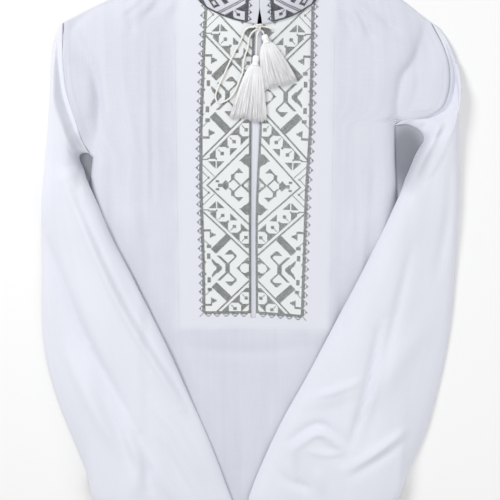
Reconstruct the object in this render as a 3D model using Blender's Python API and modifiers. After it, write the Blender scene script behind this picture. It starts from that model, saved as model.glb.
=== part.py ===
"""A man's embroidered folk shirt, laid flat with both sleeves folded in over its front.

Frame: metres, +X to the right of someone who looks down on the front, +Y towards the
collar, +Z up from the surface. The origin is the bottom centre of the shirt without its cord.
Lengths in the tables are millimetres, and every point is scaled once, when its mesh is made.
"""
import bmesh
import bpy
import numpy as np
from mathutils import Vector

MM = 0.001
CLOTH = 1.2
ARMHOLE_GAP = 0.45
REST_GAP = 0.6
SLEEVE_CLEARANCE = 1.8
EDGE_ROUND = 7.0
HEM_Y = -408.0
SHOULDER_TIP_Y = 306.0
SLIT_FOOT_Y = -80.0
UNDERARM_Y = 134.0
CHEST_CROWN = 9.0
NECK_RISE = 13.0
NECK_CENTRE = (12.5, 305.0)
SIDE_FOLD_WIDTH = 50.0
SIDE_FOLD_LAYERS = 2
SLEEVE_ROUND = 26
COLLAR_WALL = 1.8
COLLAR_SEAM_GAP = 0.5
CORD_DIAMETER = 2.2
STRANDS_ACROSS = 9
STRANDS_DEEP = 3

# Outline of the front, from the hem up: x, y. The side ends at the underarm.
FRONT_SIDE_LEFT = [(-211, -408), (-209, -300), (-208, -150), (-208, 0), (-207.5, 102), (-203, 134)]
FRONT_ARMHOLE_LEFT = [(-203, 134), (-211, 146), (-222.5, 183), (-233, 222), (-236, 262), (-236, 306)]
FRONT_SIDE_RIGHT = [(205, -408), (203, -300), (201, -150), (199, 0), (195.5, 89), (192, 132),
                    (190.5, 176)]
FRONT_ARMHOLE_RIGHT = [(190.5, 176), (196, 180), (215, 184), (236, 189), (250, 200), (256, 216),
                       (257, 248), (250, 274), (234, 306)]

# Outline of the back, which reaches further out under both arms: x, y.
BACK_LEFT = [(-211, -408), (-209, -300), (-208, -150), (-208, 50), (-214, 85), (-226, 112), (-234, 150),
             (-238, 190), (-240, 230), (-240, 268), (-236, 306)]
BACK_RIGHT = [(205, -408), (203, -300), (201, -150), (198, 40), (204, 75), (222, 105), (241, 140), (253, 175),
              (260, 215), (261, 248), (254, 276), (234, 306)]

# Upper edge from a shoulder tip to the centre: x, y. The front's neck edge runs under the collar.
SHOULDER_LEFT = [(-236, 306), (-205, 321.5), (-177.5, 334), (-125, 352), (-74, 367)]
SHOULDER_RIGHT = [(234, 306), (215, 320), (196.5, 334), (146, 353), (97, 367)]
FRONT_NECK_LEFT = [(-74, 367), (-70, 352), (-64, 337.5), (-53, 329.5), (-38, 322), (-21, 315.5),
                   (-5, 309), (9, 306)]
FRONT_NECK_RIGHT = [(97, 367), (93.5, 352), (88.5, 337.5), (71, 327.5), (52, 318), (30, 311),
                    (18, 306)]
BACK_NECK_LEFT = [(-74, 367), (-66, 362), (-40, 356), (12.5, 352)]
BACK_NECK_RIGHT = [(97, 367), (88, 362), (64, 356), (12.5, 352)]

# Edges of the neck slit, from its foot up: x, y.
SLIT_LEFT = [(4, -408), (4, -80), (4, 80), (4.5, 177), (9, 306)]
SLIT_RIGHT = [(10.5, -408), (10.5, -80), (10.5, 80), (15, 177), (18, 306)]

PANEL_ROWS = [-408, -372, -320, -262, -204, -146, -104, -80, -40, 0, 40, 72, 92, 112, 134, 146, 162, 176,
              180, 184, 189, 200, 216, 234, 254, 274, 290, 306]
BACK_ROWS = [-408, -300, -200, -100, 0, 40, 72, 92, 112, 134, 162, 189, 216, 248, 274, 306]
HALF_COLUMNS = [0.0, 0.03, 0.075, 0.14, 0.22, 0.33, 0.46, 0.57]

# Crease beside each armhole, where the chest drops to the arm: x, y, from the side up.
CREASE_LEFT = [(-208, 0), (-207, 102), (-202, 132), (-198, 158), (-194.5, 183), (-192.5, 209), (-195.5, 240),
               (-203.5, 262), (-226, 306)]
CREASE_RIGHT = [(199, 0), (195.5, 89), (192, 132), (190.5, 183), (192.5, 209), (198, 240), (212.5, 262),
                (226, 306)]

# Largest folds: three points x, y along each, its half width, and its height (a trough is below 0).
FRONT_FOLDS = [
    ((-119, 334), (-139, 319), (-152, 305), 7, 2.6),
    ((-93, 334), (-103, 322), (-106, 312), 6, 2.2),
    ((118, 330), (142, 312), (182, 284), 7, 2.6),
    ((131, 318), (142, 301), (147, 280), 6, 2.0),
    ((-122, 295), (-121, 180), (-121, 80), 9, 1.2),
    ((148, 90), (147, 50), (142, 10), 9, -1.6),
]
SLEEVE_FOLDS = [
    ((-236, 106), (-196, 0), (-90, -200), 11, 3.0),
    ((-271, 44), (-238, -80), (-153, -222), 16, -5.0),
    ((-153, -222), (-140, -262), (-132, -330), 11, -4.0),
    ((-166, -235), (-150, -280), (-158, -330), 9, 3.5),
    ((174, -78), (168, -170), (140, -290), 15, -4.5),
    ((236, -85), (190, -150), (140, -222), 17, 4.0),
    ((72, -196), (104, -190), (148, -172), 10, 3.0),
    ((92, -245), (112, -262), (136, -285), 9, -3.0),
]

# One row for each section of a sleeve, from the armhole to the cuff: both edges, how far the
# section bows out, and how high the cloth stands over what it lies on.
SLEEVE_COLUMNS = ("outer_x", "outer_y", "inner_x", "inner_y", "bow", "height")
SLEEVE_LEFT = [
    (-236.3, 306.0, -203.4, 134.5, 1.0, 9.0),
    (-242.0, 296.0, -207.0, 138.0, 1.0, 5.0),
    (-247.0, 282.0, -211.5, 139.5, 0.95, 11.0),
    (-252.0, 259.0, -216.5, 139.0, 0.8, 16.0),
    (-256.0, 222.0, -220.5, 135.5, 0.6, 19.0),
    (-260.5, 176.0, -219.0, 127.0, 0.3, 21.0),
    (-266.5, 128.0, -213.5, 116.0, 0.1, 22.0),
    (-272.0, 82.0, -208.5, 102.0, 0.0, 22.0),
    (-275.0, 35.0, -196.0, 72.0, 0.0, 20.0),
    (-276.0, -15.0, -179.0, 30.0, 0.0, 18.0),
    (-278.5, -68.0, -157.0, -15.0, 0.0, 17.0),
    (-277.5, -122.0, -132.5, -68.0, 0.0, 16.0),
    (-268.5, -175.0, -105.0, -129.0, 0.0, 16.0),
    (-255.0, -222.0, -82.0, -184.0, 0.0, 16.0),
    (-241.0, -261.0, -62.5, -230.0, 0.0, 16.0),
    (-226.0, -303.0, -44.5, -277.0, 0.0, 16.0),
    (-212.0, -343.0, -29.0, -322.0, 0.0, 15.0),
    (-186.0, -366.0, -22.5, -341.0, 0.0, 13.0),
    (-143.0, -362.0, -24.0, -351.0, 0.0, 8.0),
]
SLEEVE_RIGHT = [
    (234.3, 306.4, 191.4, 176.5, 1.0, 9.0),
    (243.0, 300.5, 206.0, 177.0, 0.9, 5.0),
    (252.0, 288.5, 219.0, 172.0, 0.78, 11.0),
    (261.0, 266.0, 227.5, 164.0, 0.6, 16.0),
    (267.5, 238.0, 229.0, 156.0, 0.45, 19.0),
    (272.0, 205.0, 225.0, 149.0, 0.28, 21.0),
    (275.0, 166.0, 219.0, 138.0, 0.12, 22.0),
    (278.0, 120.0, 210.0, 115.0, 0.0, 22.0),
    (278.5, 72.0, 197.0, 84.0, 0.0, 22.0),
    (278.0, 22.0, 181.0, 48.0, 0.0, 19.0),
    (277.0, -30.0, 160.0, 3.0, 0.0, 17.0),
    (274.5, -82.0, 132.0, -55.0, 0.0, 16.0),
    (268.5, -137.0, 101.0, -118.0, 0.0, 16.0),
    (259.0, -190.0, 75.0, -170.0, 0.0, 16.0),
    (247.5, -240.0, 50.0, -217.0, 0.0, 16.0),
    (230.0, -287.0, 28.0, -265.0, 0.0, 16.0),
    (209.0, -336.0, 5.5, -322.0, 0.0, 15.0),
    (184.0, -364.0, 0.5, -341.0, 0.0, 13.0),
    (131.0, -362.0, 12.0, -351.0, 0.0, 8.0),
]
CUFF_LEFT = [
    (-136.0, -361.8, -25.5, -351.6, 0.0, 8.5),
    (-136.5, -366.0, -24.5, -356.0, 0.0, 9.0),
    (-134.0, -382.0, -22.5, -376.0, 0.0, 9.0),
    (-132.0, -399.0, -21.0, -396.0, 0.0, 9.0),
    (-131.5, -402.0, -21.5, -399.5, 0.0, 8.5),
]
CUFF_RIGHT = [
    (124.0, -361.8, 13.5, -351.6, 0.0, 8.5),
    (124.5, -366.0, 12.5, -356.0, 0.0, 9.0),
    (122.5, -382.0, 11.0, -376.0, 0.0, 9.0),
    (121.0, -399.0, 10.0, -396.0, 0.0, 9.0),
    (120.5, -402.0, 10.5, -399.5, 0.0, 8.5),
]

# The stand collar: seam point x, y, then its upper edge x, y, z, from the right front end
# round the back to the left front end. back is 1 where the band lies on the back panel.
COLLAR_COLUMNS = ("seam_x", "seam_y", "top_x", "top_y", "top_z", "back")
COLLAR = [
    (17.6, 304.5, 14.9, 343.0, 33.0, 0.0),
    (31.0, 307.5, 31.0, 345.0, 33.0, 0.0),
    (53.0, 314.0, 52.0, 350.0, 31.0, 0.0),
    (72.0, 323.5, 70.0, 359.0, 28.0, 0.0),
    (86.0, 334.5, 82.0, 372.0, 25.0, 0.0),
    (91.0, 350.0, 87.5, 388.0, 21.0, 0.0),
    (93.0, 361.0, 88.5, 401.0, 17.0, 0.5),
    (90.5, 365.0, 85.0, 407.5, 11.5, 1.0),
    (80.0, 362.5, 74.0, 407.0, 8.5, 1.0),
    (52.0, 357.0, 48.0, 402.0, 8.0, 1.0),
    (12.5, 355.0, 12.5, 399.0, 8.0, 1.0),
    (-27.0, 357.0, -23.0, 402.0, 8.0, 1.0),
    (-56.0, 362.5, -50.0, 407.0, 8.5, 1.0),
    (-67.0, 365.0, -61.5, 407.5, 11.5, 1.0),
    (-69.5, 361.0, -65.0, 401.0, 17.0, 0.5),
    (-67.8, 350.0, -64.0, 388.0, 21.0, 0.0),
    (-63.5, 336.5, -59.0, 372.0, 25.0, 0.0),
    (-53.0, 326.0, -49.0, 360.0, 28.0, 0.0),
    (-39.0, 318.5, -36.0, 351.0, 31.0, 0.0),
    (-15.0, 310.0, -13.0, 345.5, 33.0, 0.0),
    (11.8, 304.5, 13.9, 343.0, 33.0, 0.0),
]
COLLAR_STEPS = 41
COLLAR_SPAN = 4

# Route of the bow loop on the front, from the knot and back to it: x, y.
BOW_ROUTE = [(7.8, 300.2), (1.5, 300.0), (-4.0, 296.0), (-7.2, 288.5), (-11.0, 280.0), (-15.5, 272.5),
             (-20.5, 262.5), (-25.0, 253.5), (-30.0, 242.5), (-35.5, 231.5), (-40.0, 221.0), (-41.5, 211.5),
             (-38.5, 205.5), (-31.0, 207.0), (-23.5, 211.5), (-18.5, 217.5), (-14.5, 225.0), (-10.5, 235.0),
             (-7.0, 244.0), (-6.0, 253.0), (-3.5, 266.0), (-0.5, 274.0), (1.0, 284.0), (4.0, 292.0),
             (10.5, 297.6)]
# Route of the two free ends: from the upper tassel, past the knot, down to the lower tassel: x, y.
ENDS_ROUTE = [(19.88, 291.88), (18.4, 294.8), (15.0, 296.5), (12.2, 293.5), (11.2, 286.5), (10.8, 278.5),
              (10.6, 270.5), (10.45, 266.38)]
KNOT_AT = (12.8, 301.0)
KNOT_SIZE = (9.5, 6.5, 6.0)
KNOT_LIFT = 2.8
ENDS_LIFT = 3.3
BOW_END_LIFT = 3.4
BOW_END_SHARE = 0.09

# A tassel: head top x, y, middle of its fringe end x, y, head width, fringe end width, length of head.
TASSEL_COLUMNS = ("head_x", "head_y", "end_x", "end_y", "head_width", "end_width", "head_length")
TASSELS = {
    "tassel_lower": (10.4, 266.0, 0.5, 185.0, 9.0, 37.0, 13.0),
    "tassel_upper": (20.0, 291.5, 39.5, 228.0, 9.0, 38.0, 11.0),
}
# Share of the head's length and how wide it is there: a rounded top, a binding and a collar.
TASSEL_HEAD = [(0.0, 0.45), (0.12, 0.75), (0.3, 0.9), (0.5, 0.95), (0.62, 0.7), (0.8, 0.85), (1.0, 1.0)]
TASSEL_THICKNESS = 7.0
FRINGE_CLEARANCE = 1.6

COTTON = (0.84, 0.85, 0.89, 1.0)
COLLAR_COTTON = (0.80, 0.81, 0.84, 1.0)
THREAD = (0.86, 0.86, 0.80, 1.0)


def clear_scene():
    for item in list(bpy.data.objects):
        bpy.data.objects.remove(item, do_unlink=True)


def cloth_material(name, colour, roughness):
    material = bpy.data.materials.new(name)
    material.use_nodes = True
    shader = material.node_tree.nodes["Principled BSDF"]
    shader.inputs["Base Color"].default_value = colour
    shader.inputs["Roughness"].default_value = roughness
    shader.inputs["Metallic"].default_value = 0.0
    return material


def ramp(value):
    """A soft step from 0 to 1."""
    value = np.clip(value, 0.0, 1.0)
    return value * value * (3.0 - 2.0 * value)


def through(points, count):
    """Points at even steps along a smooth curve through the given ones."""
    points = np.asarray(points, float)
    step = np.linalg.norm(np.diff(points, axis=0), axis=1)
    at = np.concatenate([[0.0], np.cumsum(step)])
    slope = np.gradient(points, at, axis=0)
    want = np.linspace(0.0, at[-1], count)
    span = np.clip(np.searchsorted(at, want, side="right") - 1, 0, len(step) - 1)
    width = step[span][:, None]
    t = ((want - at[span]) / step[span])[:, None]
    start = points[span]
    end = points[span + 1]
    bend_in = slope[span] * width
    bend_out = slope[span + 1] * width
    return (start * (2 * t**3 - 3 * t**2 + 1) + bend_in * (t**3 - 2 * t**2 + t)
            + end * (3 * t**2 - 2 * t**3) + bend_out * (t**3 - t**2))


def x_at(points, y):
    """x where an edge, listed upwards, passes the height y."""
    edge = through(points, 120)
    return np.interp(y, edge[:, 1], edge[:, 0])


def joined_x_at(lower, upper, y):
    """x on an edge made of two smooth runs that meet at a corner."""
    corner_y = upper[0][1]
    return x_at(lower, y) if y < corner_y else x_at(upper, y)


def front_left(y):
    return joined_x_at(FRONT_SIDE_LEFT, FRONT_ARMHOLE_LEFT, y)


def front_right(y):
    return joined_x_at(FRONT_SIDE_RIGHT, FRONT_ARMHOLE_RIGHT, y)


def fold_height(folds, x, y):
    """Height that the folds add at a point: each fades out across its width and at its ends."""
    total = 0.0
    for start, middle, end, half_width, height in folds:
        line = through([start, middle, end], 25)
        away = np.hypot(line[:, 0] - x, line[:, 1] - y)
        nearest = int(np.argmin(away))
        along = nearest / (len(line) - 1)
        fade = np.sin(np.pi * min(max(along, 0.06), 0.94)) ** 0.5
        total += height * fade * np.exp(-((away[nearest] / half_width) ** 2))
    return total


def side_layers(x, y, reach):
    """Share of the turned-under side margins below a point; reach widens them for what lies above."""
    rows = ramp((80.0 - y) / 40.0)
    inside = min(x - x_at(BACK_LEFT, y), x_at(BACK_RIGHT, y) - x)
    return rows * (1.0 - ramp((inside - SIDE_FOLD_WIDTH - reach) / 14.0))


def back_top(x, y):
    return CLOTH * (1.0 + SIDE_FOLD_LAYERS * side_layers(x, y, 0.0))


def shoulder_y(x):
    """Height in y of the shoulder line, carried level across the neck."""
    line = SHOULDER_LEFT + SHOULDER_RIGHT[::-1]
    return np.interp(x, [p[0] for p in line], [p[1] for p in line])


def front_top(x, y):
    """Height of the front's upper face over the surface."""
    base = CLOTH * (1.0 + SIDE_FOLD_LAYERS * side_layers(x, y, 10.0)) + REST_GAP + CLOTH
    crease_left = x_at(CREASE_LEFT, y) if y > 0 else front_left(y)
    crease_right = x_at(CREASE_RIGHT, y) if y > 0 else front_right(y)
    inside_left = x - crease_left
    inside_right = crease_right - x
    near = 1.0 - np.exp(-max(min(inside_left, inside_right), 0.0) / EDGE_ROUND)
    from_shoulder = 1.0 - np.exp(-max(shoulder_y(x) - y, 0.0) / 24.0)
    crown = CHEST_CROWN * near * from_shoulder
    armhole = 0.0
    if inside_left < 0:
        window = ramp((y - UNDERARM_Y) / 40.0) * ramp((SHOULDER_TIP_Y - y) / 46.0)
        armhole = 10.0 * window * ramp(-inside_left / 34.0)
    if inside_right < 0:
        window = ramp((y - 170.0) / 30.0) * ramp((SHOULDER_TIP_Y - y) / 46.0)
        armhole = 10.0 * window * ramp(-inside_right / 46.0)
    below_neck = max(NECK_CENTRE[1] + 6.0 - y, 0.0)
    across = (x - NECK_CENTRE[0]) / 58.0
    rise = NECK_RISE * np.exp(-across * across) * np.exp(-((below_neck / 62.0) ** 2))
    return base + crown + armhole + rise + fold_height(FRONT_FOLDS, x, y)


def slab(name, upper, lower, keep, material, groove=None):
    """Close two grids of points into one solid. keep(i, j) says which cells are cloth."""
    mesh = bmesh.new()
    rows, columns = upper.shape[:2]
    top = {}
    bottom = {}
    cells = [(i, j) for i in range(rows - 1) for j in range(columns - 1) if keep(i, j)]
    for i, j in cells:
        for corner in ((i, j), (i + 1, j), (i + 1, j + 1), (i, j + 1)):
            if corner not in top:
                top[corner] = mesh.verts.new(upper[corner] * MM)
                bottom[corner] = mesh.verts.new(lower[corner] * MM)
    sides = {}
    for i, j in cells:
        ring = [(i, j), (i, j + 1), (i + 1, j + 1), (i + 1, j)]
        mesh.faces.new([top[c] for c in ring])
        mesh.faces.new([bottom[c] for c in reversed(ring)])
        for a, b in zip(ring, ring[1:] + ring[:1]):
            if (b, a) in sides:
                del sides[(b, a)]
            else:
                sides[(a, b)] = True
    levels = {}

    def wall_points(corner):
        if corner not in levels:
            levels[corner] = [top[corner]]
            if groove is not None:
                for point in groove(upper[corner], lower[corner]):
                    levels[corner].append(mesh.verts.new(Vector(point) * MM))
            levels[corner].append(bottom[corner])
        return levels[corner]

    for a, b in sides:
        first = wall_points(a)
        second = wall_points(b)
        for k in range(len(first) - 1):
            mesh.faces.new([first[k], first[k + 1], second[k + 1], second[k]])
    return finish(name, mesh, material)


def finish(name, mesh, material):
    bmesh.ops.recalc_face_normals(mesh, faces=mesh.faces[:])
    data = bpy.data.meshes.new(name)
    mesh.to_mesh(data)
    mesh.free()
    data.materials.append(material)
    data.shade_smooth()
    data.set_sharp_from_angle(angle=0.7)
    item = bpy.data.objects.new(name, data)
    PARTS.objects.link(item)
    return item


def corner_shares(top):
    """How far across a half panel each corner of its upper edge stands."""
    tip = top[0][0]
    span = top[-1][0] - tip
    return {round((x - tip) / span, 4) for x, _ in top}


def panel_grid(rows, left, right, centre_left, centre_right, top_left, top_right, columns):
    """Plan points of a body panel: rows from the hem up, columns from left to right.

    Rows are straight below the arms and lift to the shoulder and neck line above them.
    """
    at_left = sorted(set(columns) | corner_shares(top_left))
    at_right = sorted(set(columns) | corner_shares(top_right))
    lines = []
    for y in rows:
        lifted = ramp((y - 60.0) / (SHOULDER_TIP_Y - 60.0))
        line = []
        for shares, edge, centre, top in ((at_left, left, centre_left, top_left),
                                          (at_right, right, centre_right, top_right)):
            edge_x = edge(y)
            centre_x = centre(y)
            top_x = [top[0][0] + share * (top[-1][0] - top[0][0]) for share in shares]
            order = 1 if top[-1][0] > top[0][0] else -1
            top_y = np.interp([order * x for x in top_x], [order * p[0] for p in top], [p[1] for p in top])
            half = [(edge_x + share * (centre_x - edge_x), y + (up - SHOULDER_TIP_Y) * lifted)
                    for share, up in zip(shares, top_y)]
            line.append(half)
        lines.append(line[0] + line[1][::-1])
    return np.array(lines), len(at_left) - 1


def make_front(material):
    plan, slit_column = panel_grid(PANEL_ROWS, front_left, front_right,
                                   lambda y: x_at(SLIT_LEFT, y), lambda y: x_at(SLIT_RIGHT, y),
                                   SHOULDER_LEFT + FRONT_NECK_LEFT[1:], SHOULDER_RIGHT + FRONT_NECK_RIGHT[1:],
                                   HALF_COLUMNS)
    heights = np.array([[front_top(x, y) for x, y in row] for row in plan])
    upper = np.dstack([plan, heights])
    lower = np.dstack([plan, heights - CLOTH])
    slit_rows = [i for i, y in enumerate(PANEL_ROWS) if y >= SLIT_FOOT_Y]

    def keep(i, j):
        return not (j == slit_column and i in slit_rows)

    return slab("front_panel", upper, lower, keep, material)


def make_back(material):
    plan, middle = panel_grid(BACK_ROWS, lambda y: x_at(BACK_LEFT, y), lambda y: x_at(BACK_RIGHT, y),
                              lambda y: 12.0, lambda y: 13.0,
                              SHOULDER_LEFT + BACK_NECK_LEFT[1:], SHOULDER_RIGHT + BACK_NECK_RIGHT[1:],
                              [0.0, 0.12, 0.235, 0.305, 0.45])
    heights = np.array([[back_top(x, y) for x, y in row] for row in plan])
    upper = np.dstack([plan, heights])
    lower = np.dstack([plan, heights * 0.0])

    def layered_edge(high, low):
        """Three folded edges one above the other, where the side margins are turned under."""
        depth = 0.5 * side_layers(high[0], high[1], 0.0)
        inward = -depth if high[0] > 0 else depth
        points = []
        for share, inset in ((0.69, 0), (0.667, 1), (0.64, 0), (0.36, 0), (0.333, 1), (0.31, 0)):
            points.append((high[0] + inward * inset, high[1], low[2] + share * (high[2] - low[2])))
        return points

    return slab("back_panel", upper, lower, lambda i, j: True, material, layered_edge)


def make_backing(name, edge_x, slit, material):
    """The stiffened backing that the embroidery is worked through, just under the front."""
    rows = [-97.0, -60.0, -20.0, 20.0, 60.0, 100.0, 140.0, 180.0, 220.0, 260.0, 296.0]
    lines = []
    for y in rows:
        inner = x_at(slit, y)
        inner += 1.0 if edge_x > inner else -1.0
        shares = np.linspace(0.0, 1.0, 6)
        lines.append([(inner + share * (edge_x - inner), y) for share in shares])
    plan = np.array(lines)
    heights = np.array([[front_top(x, y) - CLOTH - 0.9 for x, y in row] for row in plan])
    upper = np.dstack([plan, heights])
    lower = np.dstack([plan, heights - 0.8])
    return slab(name, upper, lower, lambda i, j: True, material)


def make_placket(material):
    """The narrow strip that closes the slit from behind."""
    rows = [-88.0, -40.0, 0.0, 40.0, 80.0, 120.0, 160.0, 200.0, 240.0, 280.0, 298.0]
    lines = []
    heights = []
    for y in rows:
        left = x_at(SLIT_LEFT, y)
        right = x_at(SLIT_RIGHT, y)
        across = [left - 0.4, 0.5 * (left + right), right + 0.4]
        lines.append([(x, y) for x in across])
        under = min(front_top(x, y) for x in across) - CLOTH - 0.9
        heights.append([under, under + 0.2, under])
    plan = np.array(lines)
    heights = np.array(heights)
    upper = np.dstack([plan, heights])
    lower = np.dstack([plan, heights - 1.0])
    return slab("placket_strip", upper, lower, lambda i, j: True, material)


def support(x, y, side):
    """Height of what lies under a sleeve at a point: the front, the back's edge or nothing."""
    if side < 0:
        edge = x_at(FRONT_SIDE_LEFT, min(y, UNDERARM_Y))
        beyond = x - edge
        rows = ramp((136.0 - y) / 26.0)
        back_beyond = x - x_at(BACK_LEFT, min(y, SHOULDER_TIP_Y))
        clamped = max(x, edge + 2.5 * EDGE_ROUND)
    else:
        edge = x_at(FRONT_SIDE_RIGHT, min(y, 176.0))
        beyond = edge - x
        rows = ramp((128.0 - y) / 36.0)
        back_beyond = x_at(BACK_RIGHT, min(y, SHOULDER_TIP_Y)) - x
        clamped = min(x, edge - 2.5 * EDGE_ROUND)
    on_front = ramp((beyond + 17.0) / 14.0) * rows
    on_back = ramp((back_beyond + 16.0) / 9.0)
    carried = on_front * (front_top(clamped, max(y, HEM_Y)) + SLEEVE_CLEARANCE)
    return max(carried, on_back * (CLOTH + REST_GAP))


def armhole_seam(armhole, edge, side):
    """Plan points of a sleeve's seam, from the shoulder tip down, just outside the front's edge."""
    heights = [y for y in PANEL_ROWS if y >= armhole[0][1]][::-1]
    line = [np.array((edge(y), y)) for y in heights]
    while len(line) < SLEEVE_ROUND // 2 + 1:
        lengths = [np.linalg.norm(b - a) for a, b in zip(line, line[1:])]
        widest = int(np.argmax(lengths))
        line.insert(widest + 1, 0.5 * (line[widest] + line[widest + 1]))
    line = np.array(line)
    run = np.gradient(line, axis=0)
    run /= np.linalg.norm(run, axis=1)[:, None]
    outward = np.column_stack([-run[:, 1], run[:, 0]]) * side
    return line + outward * ARMHOLE_GAP


def section_points(row, seam_bow, side, inset):
    """One ring of a flattened sleeve: over the top from outer to inner edge, and back below."""
    outer = np.array((row["outer_x"], row["outer_y"]))
    inner = np.array((row["inner_x"], row["inner_y"]))
    width = np.linalg.norm(inner - outer)
    margin = inset / width
    turn = np.linspace(0.0, np.pi, SLEEVE_ROUND // 2 + 1)
    shares = margin + (1.0 - 2.0 * margin) * (0.5 - 0.5 * np.cos(turn))
    plan = outer + (inner - outer) * shares[:, None] + seam_bow * row["bow"]
    if "seam" in row:
        last = len(plan) - 1
        tuck = 0.12 if inset else 0.0
        places = np.linspace(tuck, last - tuck, last + 1)
        plan = np.column_stack([np.interp(places, range(last + 1), row["seam"][:, axis])
                                for axis in (0, 1)])
    over = []
    under = []
    for share, (x, y) in zip(shares, plan):
        ground = support(x, y, side)
        arch = (1.0 - abs(2.0 * share - 1.0) ** 3.2) ** 0.55
        ease = fold_height(SLEEVE_FOLDS, x, y) * arch
        if "seam" in row:
            level = max(front_top(x, y) - ground, 3.4)
        else:
            level = max(row["height"] * arch + ease, 3.4 * arch)
        middle = ground + 0.42 * min(row["height"], level)
        high = max(ground + level - inset, middle + 0.15)
        low = min(ground + inset, middle - 0.15)
        over.append((x, y, high))
        under.append((x, y, low))
    tip_start = (over[0][0], over[0][1], 0.5 * (over[0][2] + under[0][2]))
    tip_end = (over[-1][0], over[-1][1], 0.5 * (over[-1][2] + under[-1][2]))
    return [tip_start] + over[1:-1] + [tip_end] + under[-2:0:-1]


def named_rows(columns, table):
    return [dict(zip(columns, values)) for values in table]


def make_tube(name, table, armhole, side, material):
    """An open, flattened tube of cloth with an outer and an inner skin and two rims."""
    rows = named_rows(SLEEVE_COLUMNS, table)
    seam_bow = np.zeros((SLEEVE_ROUND // 2 + 1, 2))
    if armhole is not None:
        seam = armhole_seam(armhole, front_left if side < 0 else front_right, side)
        rows[0].update(outer_x=seam[0][0], outer_y=seam[0][1], inner_x=seam[-1][0], inner_y=seam[-1][1])
        rows[0]["seam"] = seam
        shares = 0.5 - 0.5 * np.cos(np.linspace(0.0, np.pi, len(seam)))
        seam_bow = seam - (seam[0] + (seam[-1] - seam[0]) * shares[:, None])

    mesh = bmesh.new()
    skins = []
    for inset in (0.0, CLOTH):
        rings = []
        for row in rows:
            points = section_points(row, seam_bow, side, inset)
            rings.append([mesh.verts.new(Vector(point) * MM) for point in points])
        skins.append(rings)
        for lower_ring, upper_ring in zip(rings, rings[1:]):
            count = len(lower_ring)
            for k in range(count):
                after = (k + 1) % count
                mesh.faces.new([lower_ring[k], lower_ring[after], upper_ring[after], upper_ring[k]])
    for end in (0, -1):
        outside = skins[0][end]
        inside = skins[1][end]
        count = len(outside)
        for k in range(count):
            after = (k + 1) % count
            mesh.faces.new([outside[k], outside[after], inside[after], inside[k]])
    return finish(name, mesh, material)


def make_collar(material):
    """The stand collar: a band round the neck, open at the front, given its wall by Solidify."""
    rows = named_rows(COLLAR_COLUMNS, COLLAR)
    seam = []
    crest = []
    for row in rows:
        on_front = front_top(row["seam_x"], row["seam_y"]) + COLLAR_SEAM_GAP + COLLAR_WALL
        on_back = CLOTH + COLLAR_SEAM_GAP + COLLAR_WALL
        seam.append((row["seam_x"], row["seam_y"], on_front + (on_back - on_front) * row["back"]))
        crest.append((row["top_x"], row["top_y"], row["top_z"]))
    seam = through(seam, COLLAR_STEPS)
    crest = through(crest, COLLAR_STEPS)
    mesh = bmesh.new()
    lines = []
    for step in range(COLLAR_SPAN + 1):
        share = step / COLLAR_SPAN
        bulge = 1.5 * np.sin(np.pi * share)
        line = seam + (crest - seam) * share
        line[:, 2] += bulge
        lines.append([mesh.verts.new(Vector(point) * MM) for point in line])
    for lower_line, upper_line in zip(lines, lines[1:]):
        for k in range(COLLAR_STEPS - 1):
            mesh.faces.new([lower_line[k], lower_line[k + 1], upper_line[k + 1], upper_line[k]])
    data = bpy.data.meshes.new("collar")
    mesh.to_mesh(data)
    mesh.free()
    data.materials.append(material)
    item = bpy.data.objects.new("collar", data)
    PARTS.objects.link(item)
    wall = item.modifiers.new("wall", "SOLIDIFY")
    wall.thickness = COLLAR_WALL * MM
    wall.offset = 1.0
    wall.use_even_offset = False
    return item


def make_cord(name, route, count, end_lift, material):
    """A tube along a smooth line that lies on the front."""
    line = through(route, count)
    spline_points = []
    for k, (x, y) in enumerate(line):
        lift = CORD_DIAMETER / 2 + 0.7 + end_lift(k / (count - 1))
        spline_points.append((x, y, front_top(x, y) + lift))
    curve = bpy.data.curves.new(name, "CURVE")
    curve.dimensions = "3D"
    curve.bevel_depth = CORD_DIAMETER / 2 * MM
    curve.bevel_resolution = 2
    curve.use_fill_caps = True
    spline = curve.splines.new("POLY")
    spline.points.add(count - 1)
    for point, place in zip(spline.points, spline_points):
        point.co = (place[0] * MM, place[1] * MM, place[2] * MM, 1.0)
    curve.materials.append(material)
    item = bpy.data.objects.new(name, curve)
    PARTS.objects.link(item)
    return item


def rise_to_knot(share):
    """The bow loop lifts off the front where both of its ends enter the knot."""
    from_end = min(share, 1.0 - share)
    return BOW_END_LIFT * (1.0 - ramp(from_end / BOW_END_SHARE))


def make_knot(material):
    mesh = bmesh.new()
    bmesh.ops.create_uvsphere(mesh, u_segments=12, v_segments=8, radius=0.5 * MM)
    bmesh.ops.scale(mesh, vec=Vector(KNOT_SIZE), verts=mesh.verts[:])
    height = front_top(*KNOT_AT) + KNOT_LIFT + KNOT_SIZE[2] / 2
    place = Vector((KNOT_AT[0], KNOT_AT[1], height)) * MM
    bmesh.ops.translate(mesh, vec=place, verts=mesh.verts[:])
    return finish("cord_knot", mesh, material)


def rim_of_grid(across, deep):
    """The outer corners of a grid, once round."""
    bottom = [(column, 0) for column in range(across + 1)]
    right = [(across, row) for row in range(1, deep + 1)]
    top = [(column, deep) for column in range(across - 1, -1, -1)]
    left = [(0, row) for row in range(deep - 1, 0, -1)]
    return bottom + right + top + left


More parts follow.
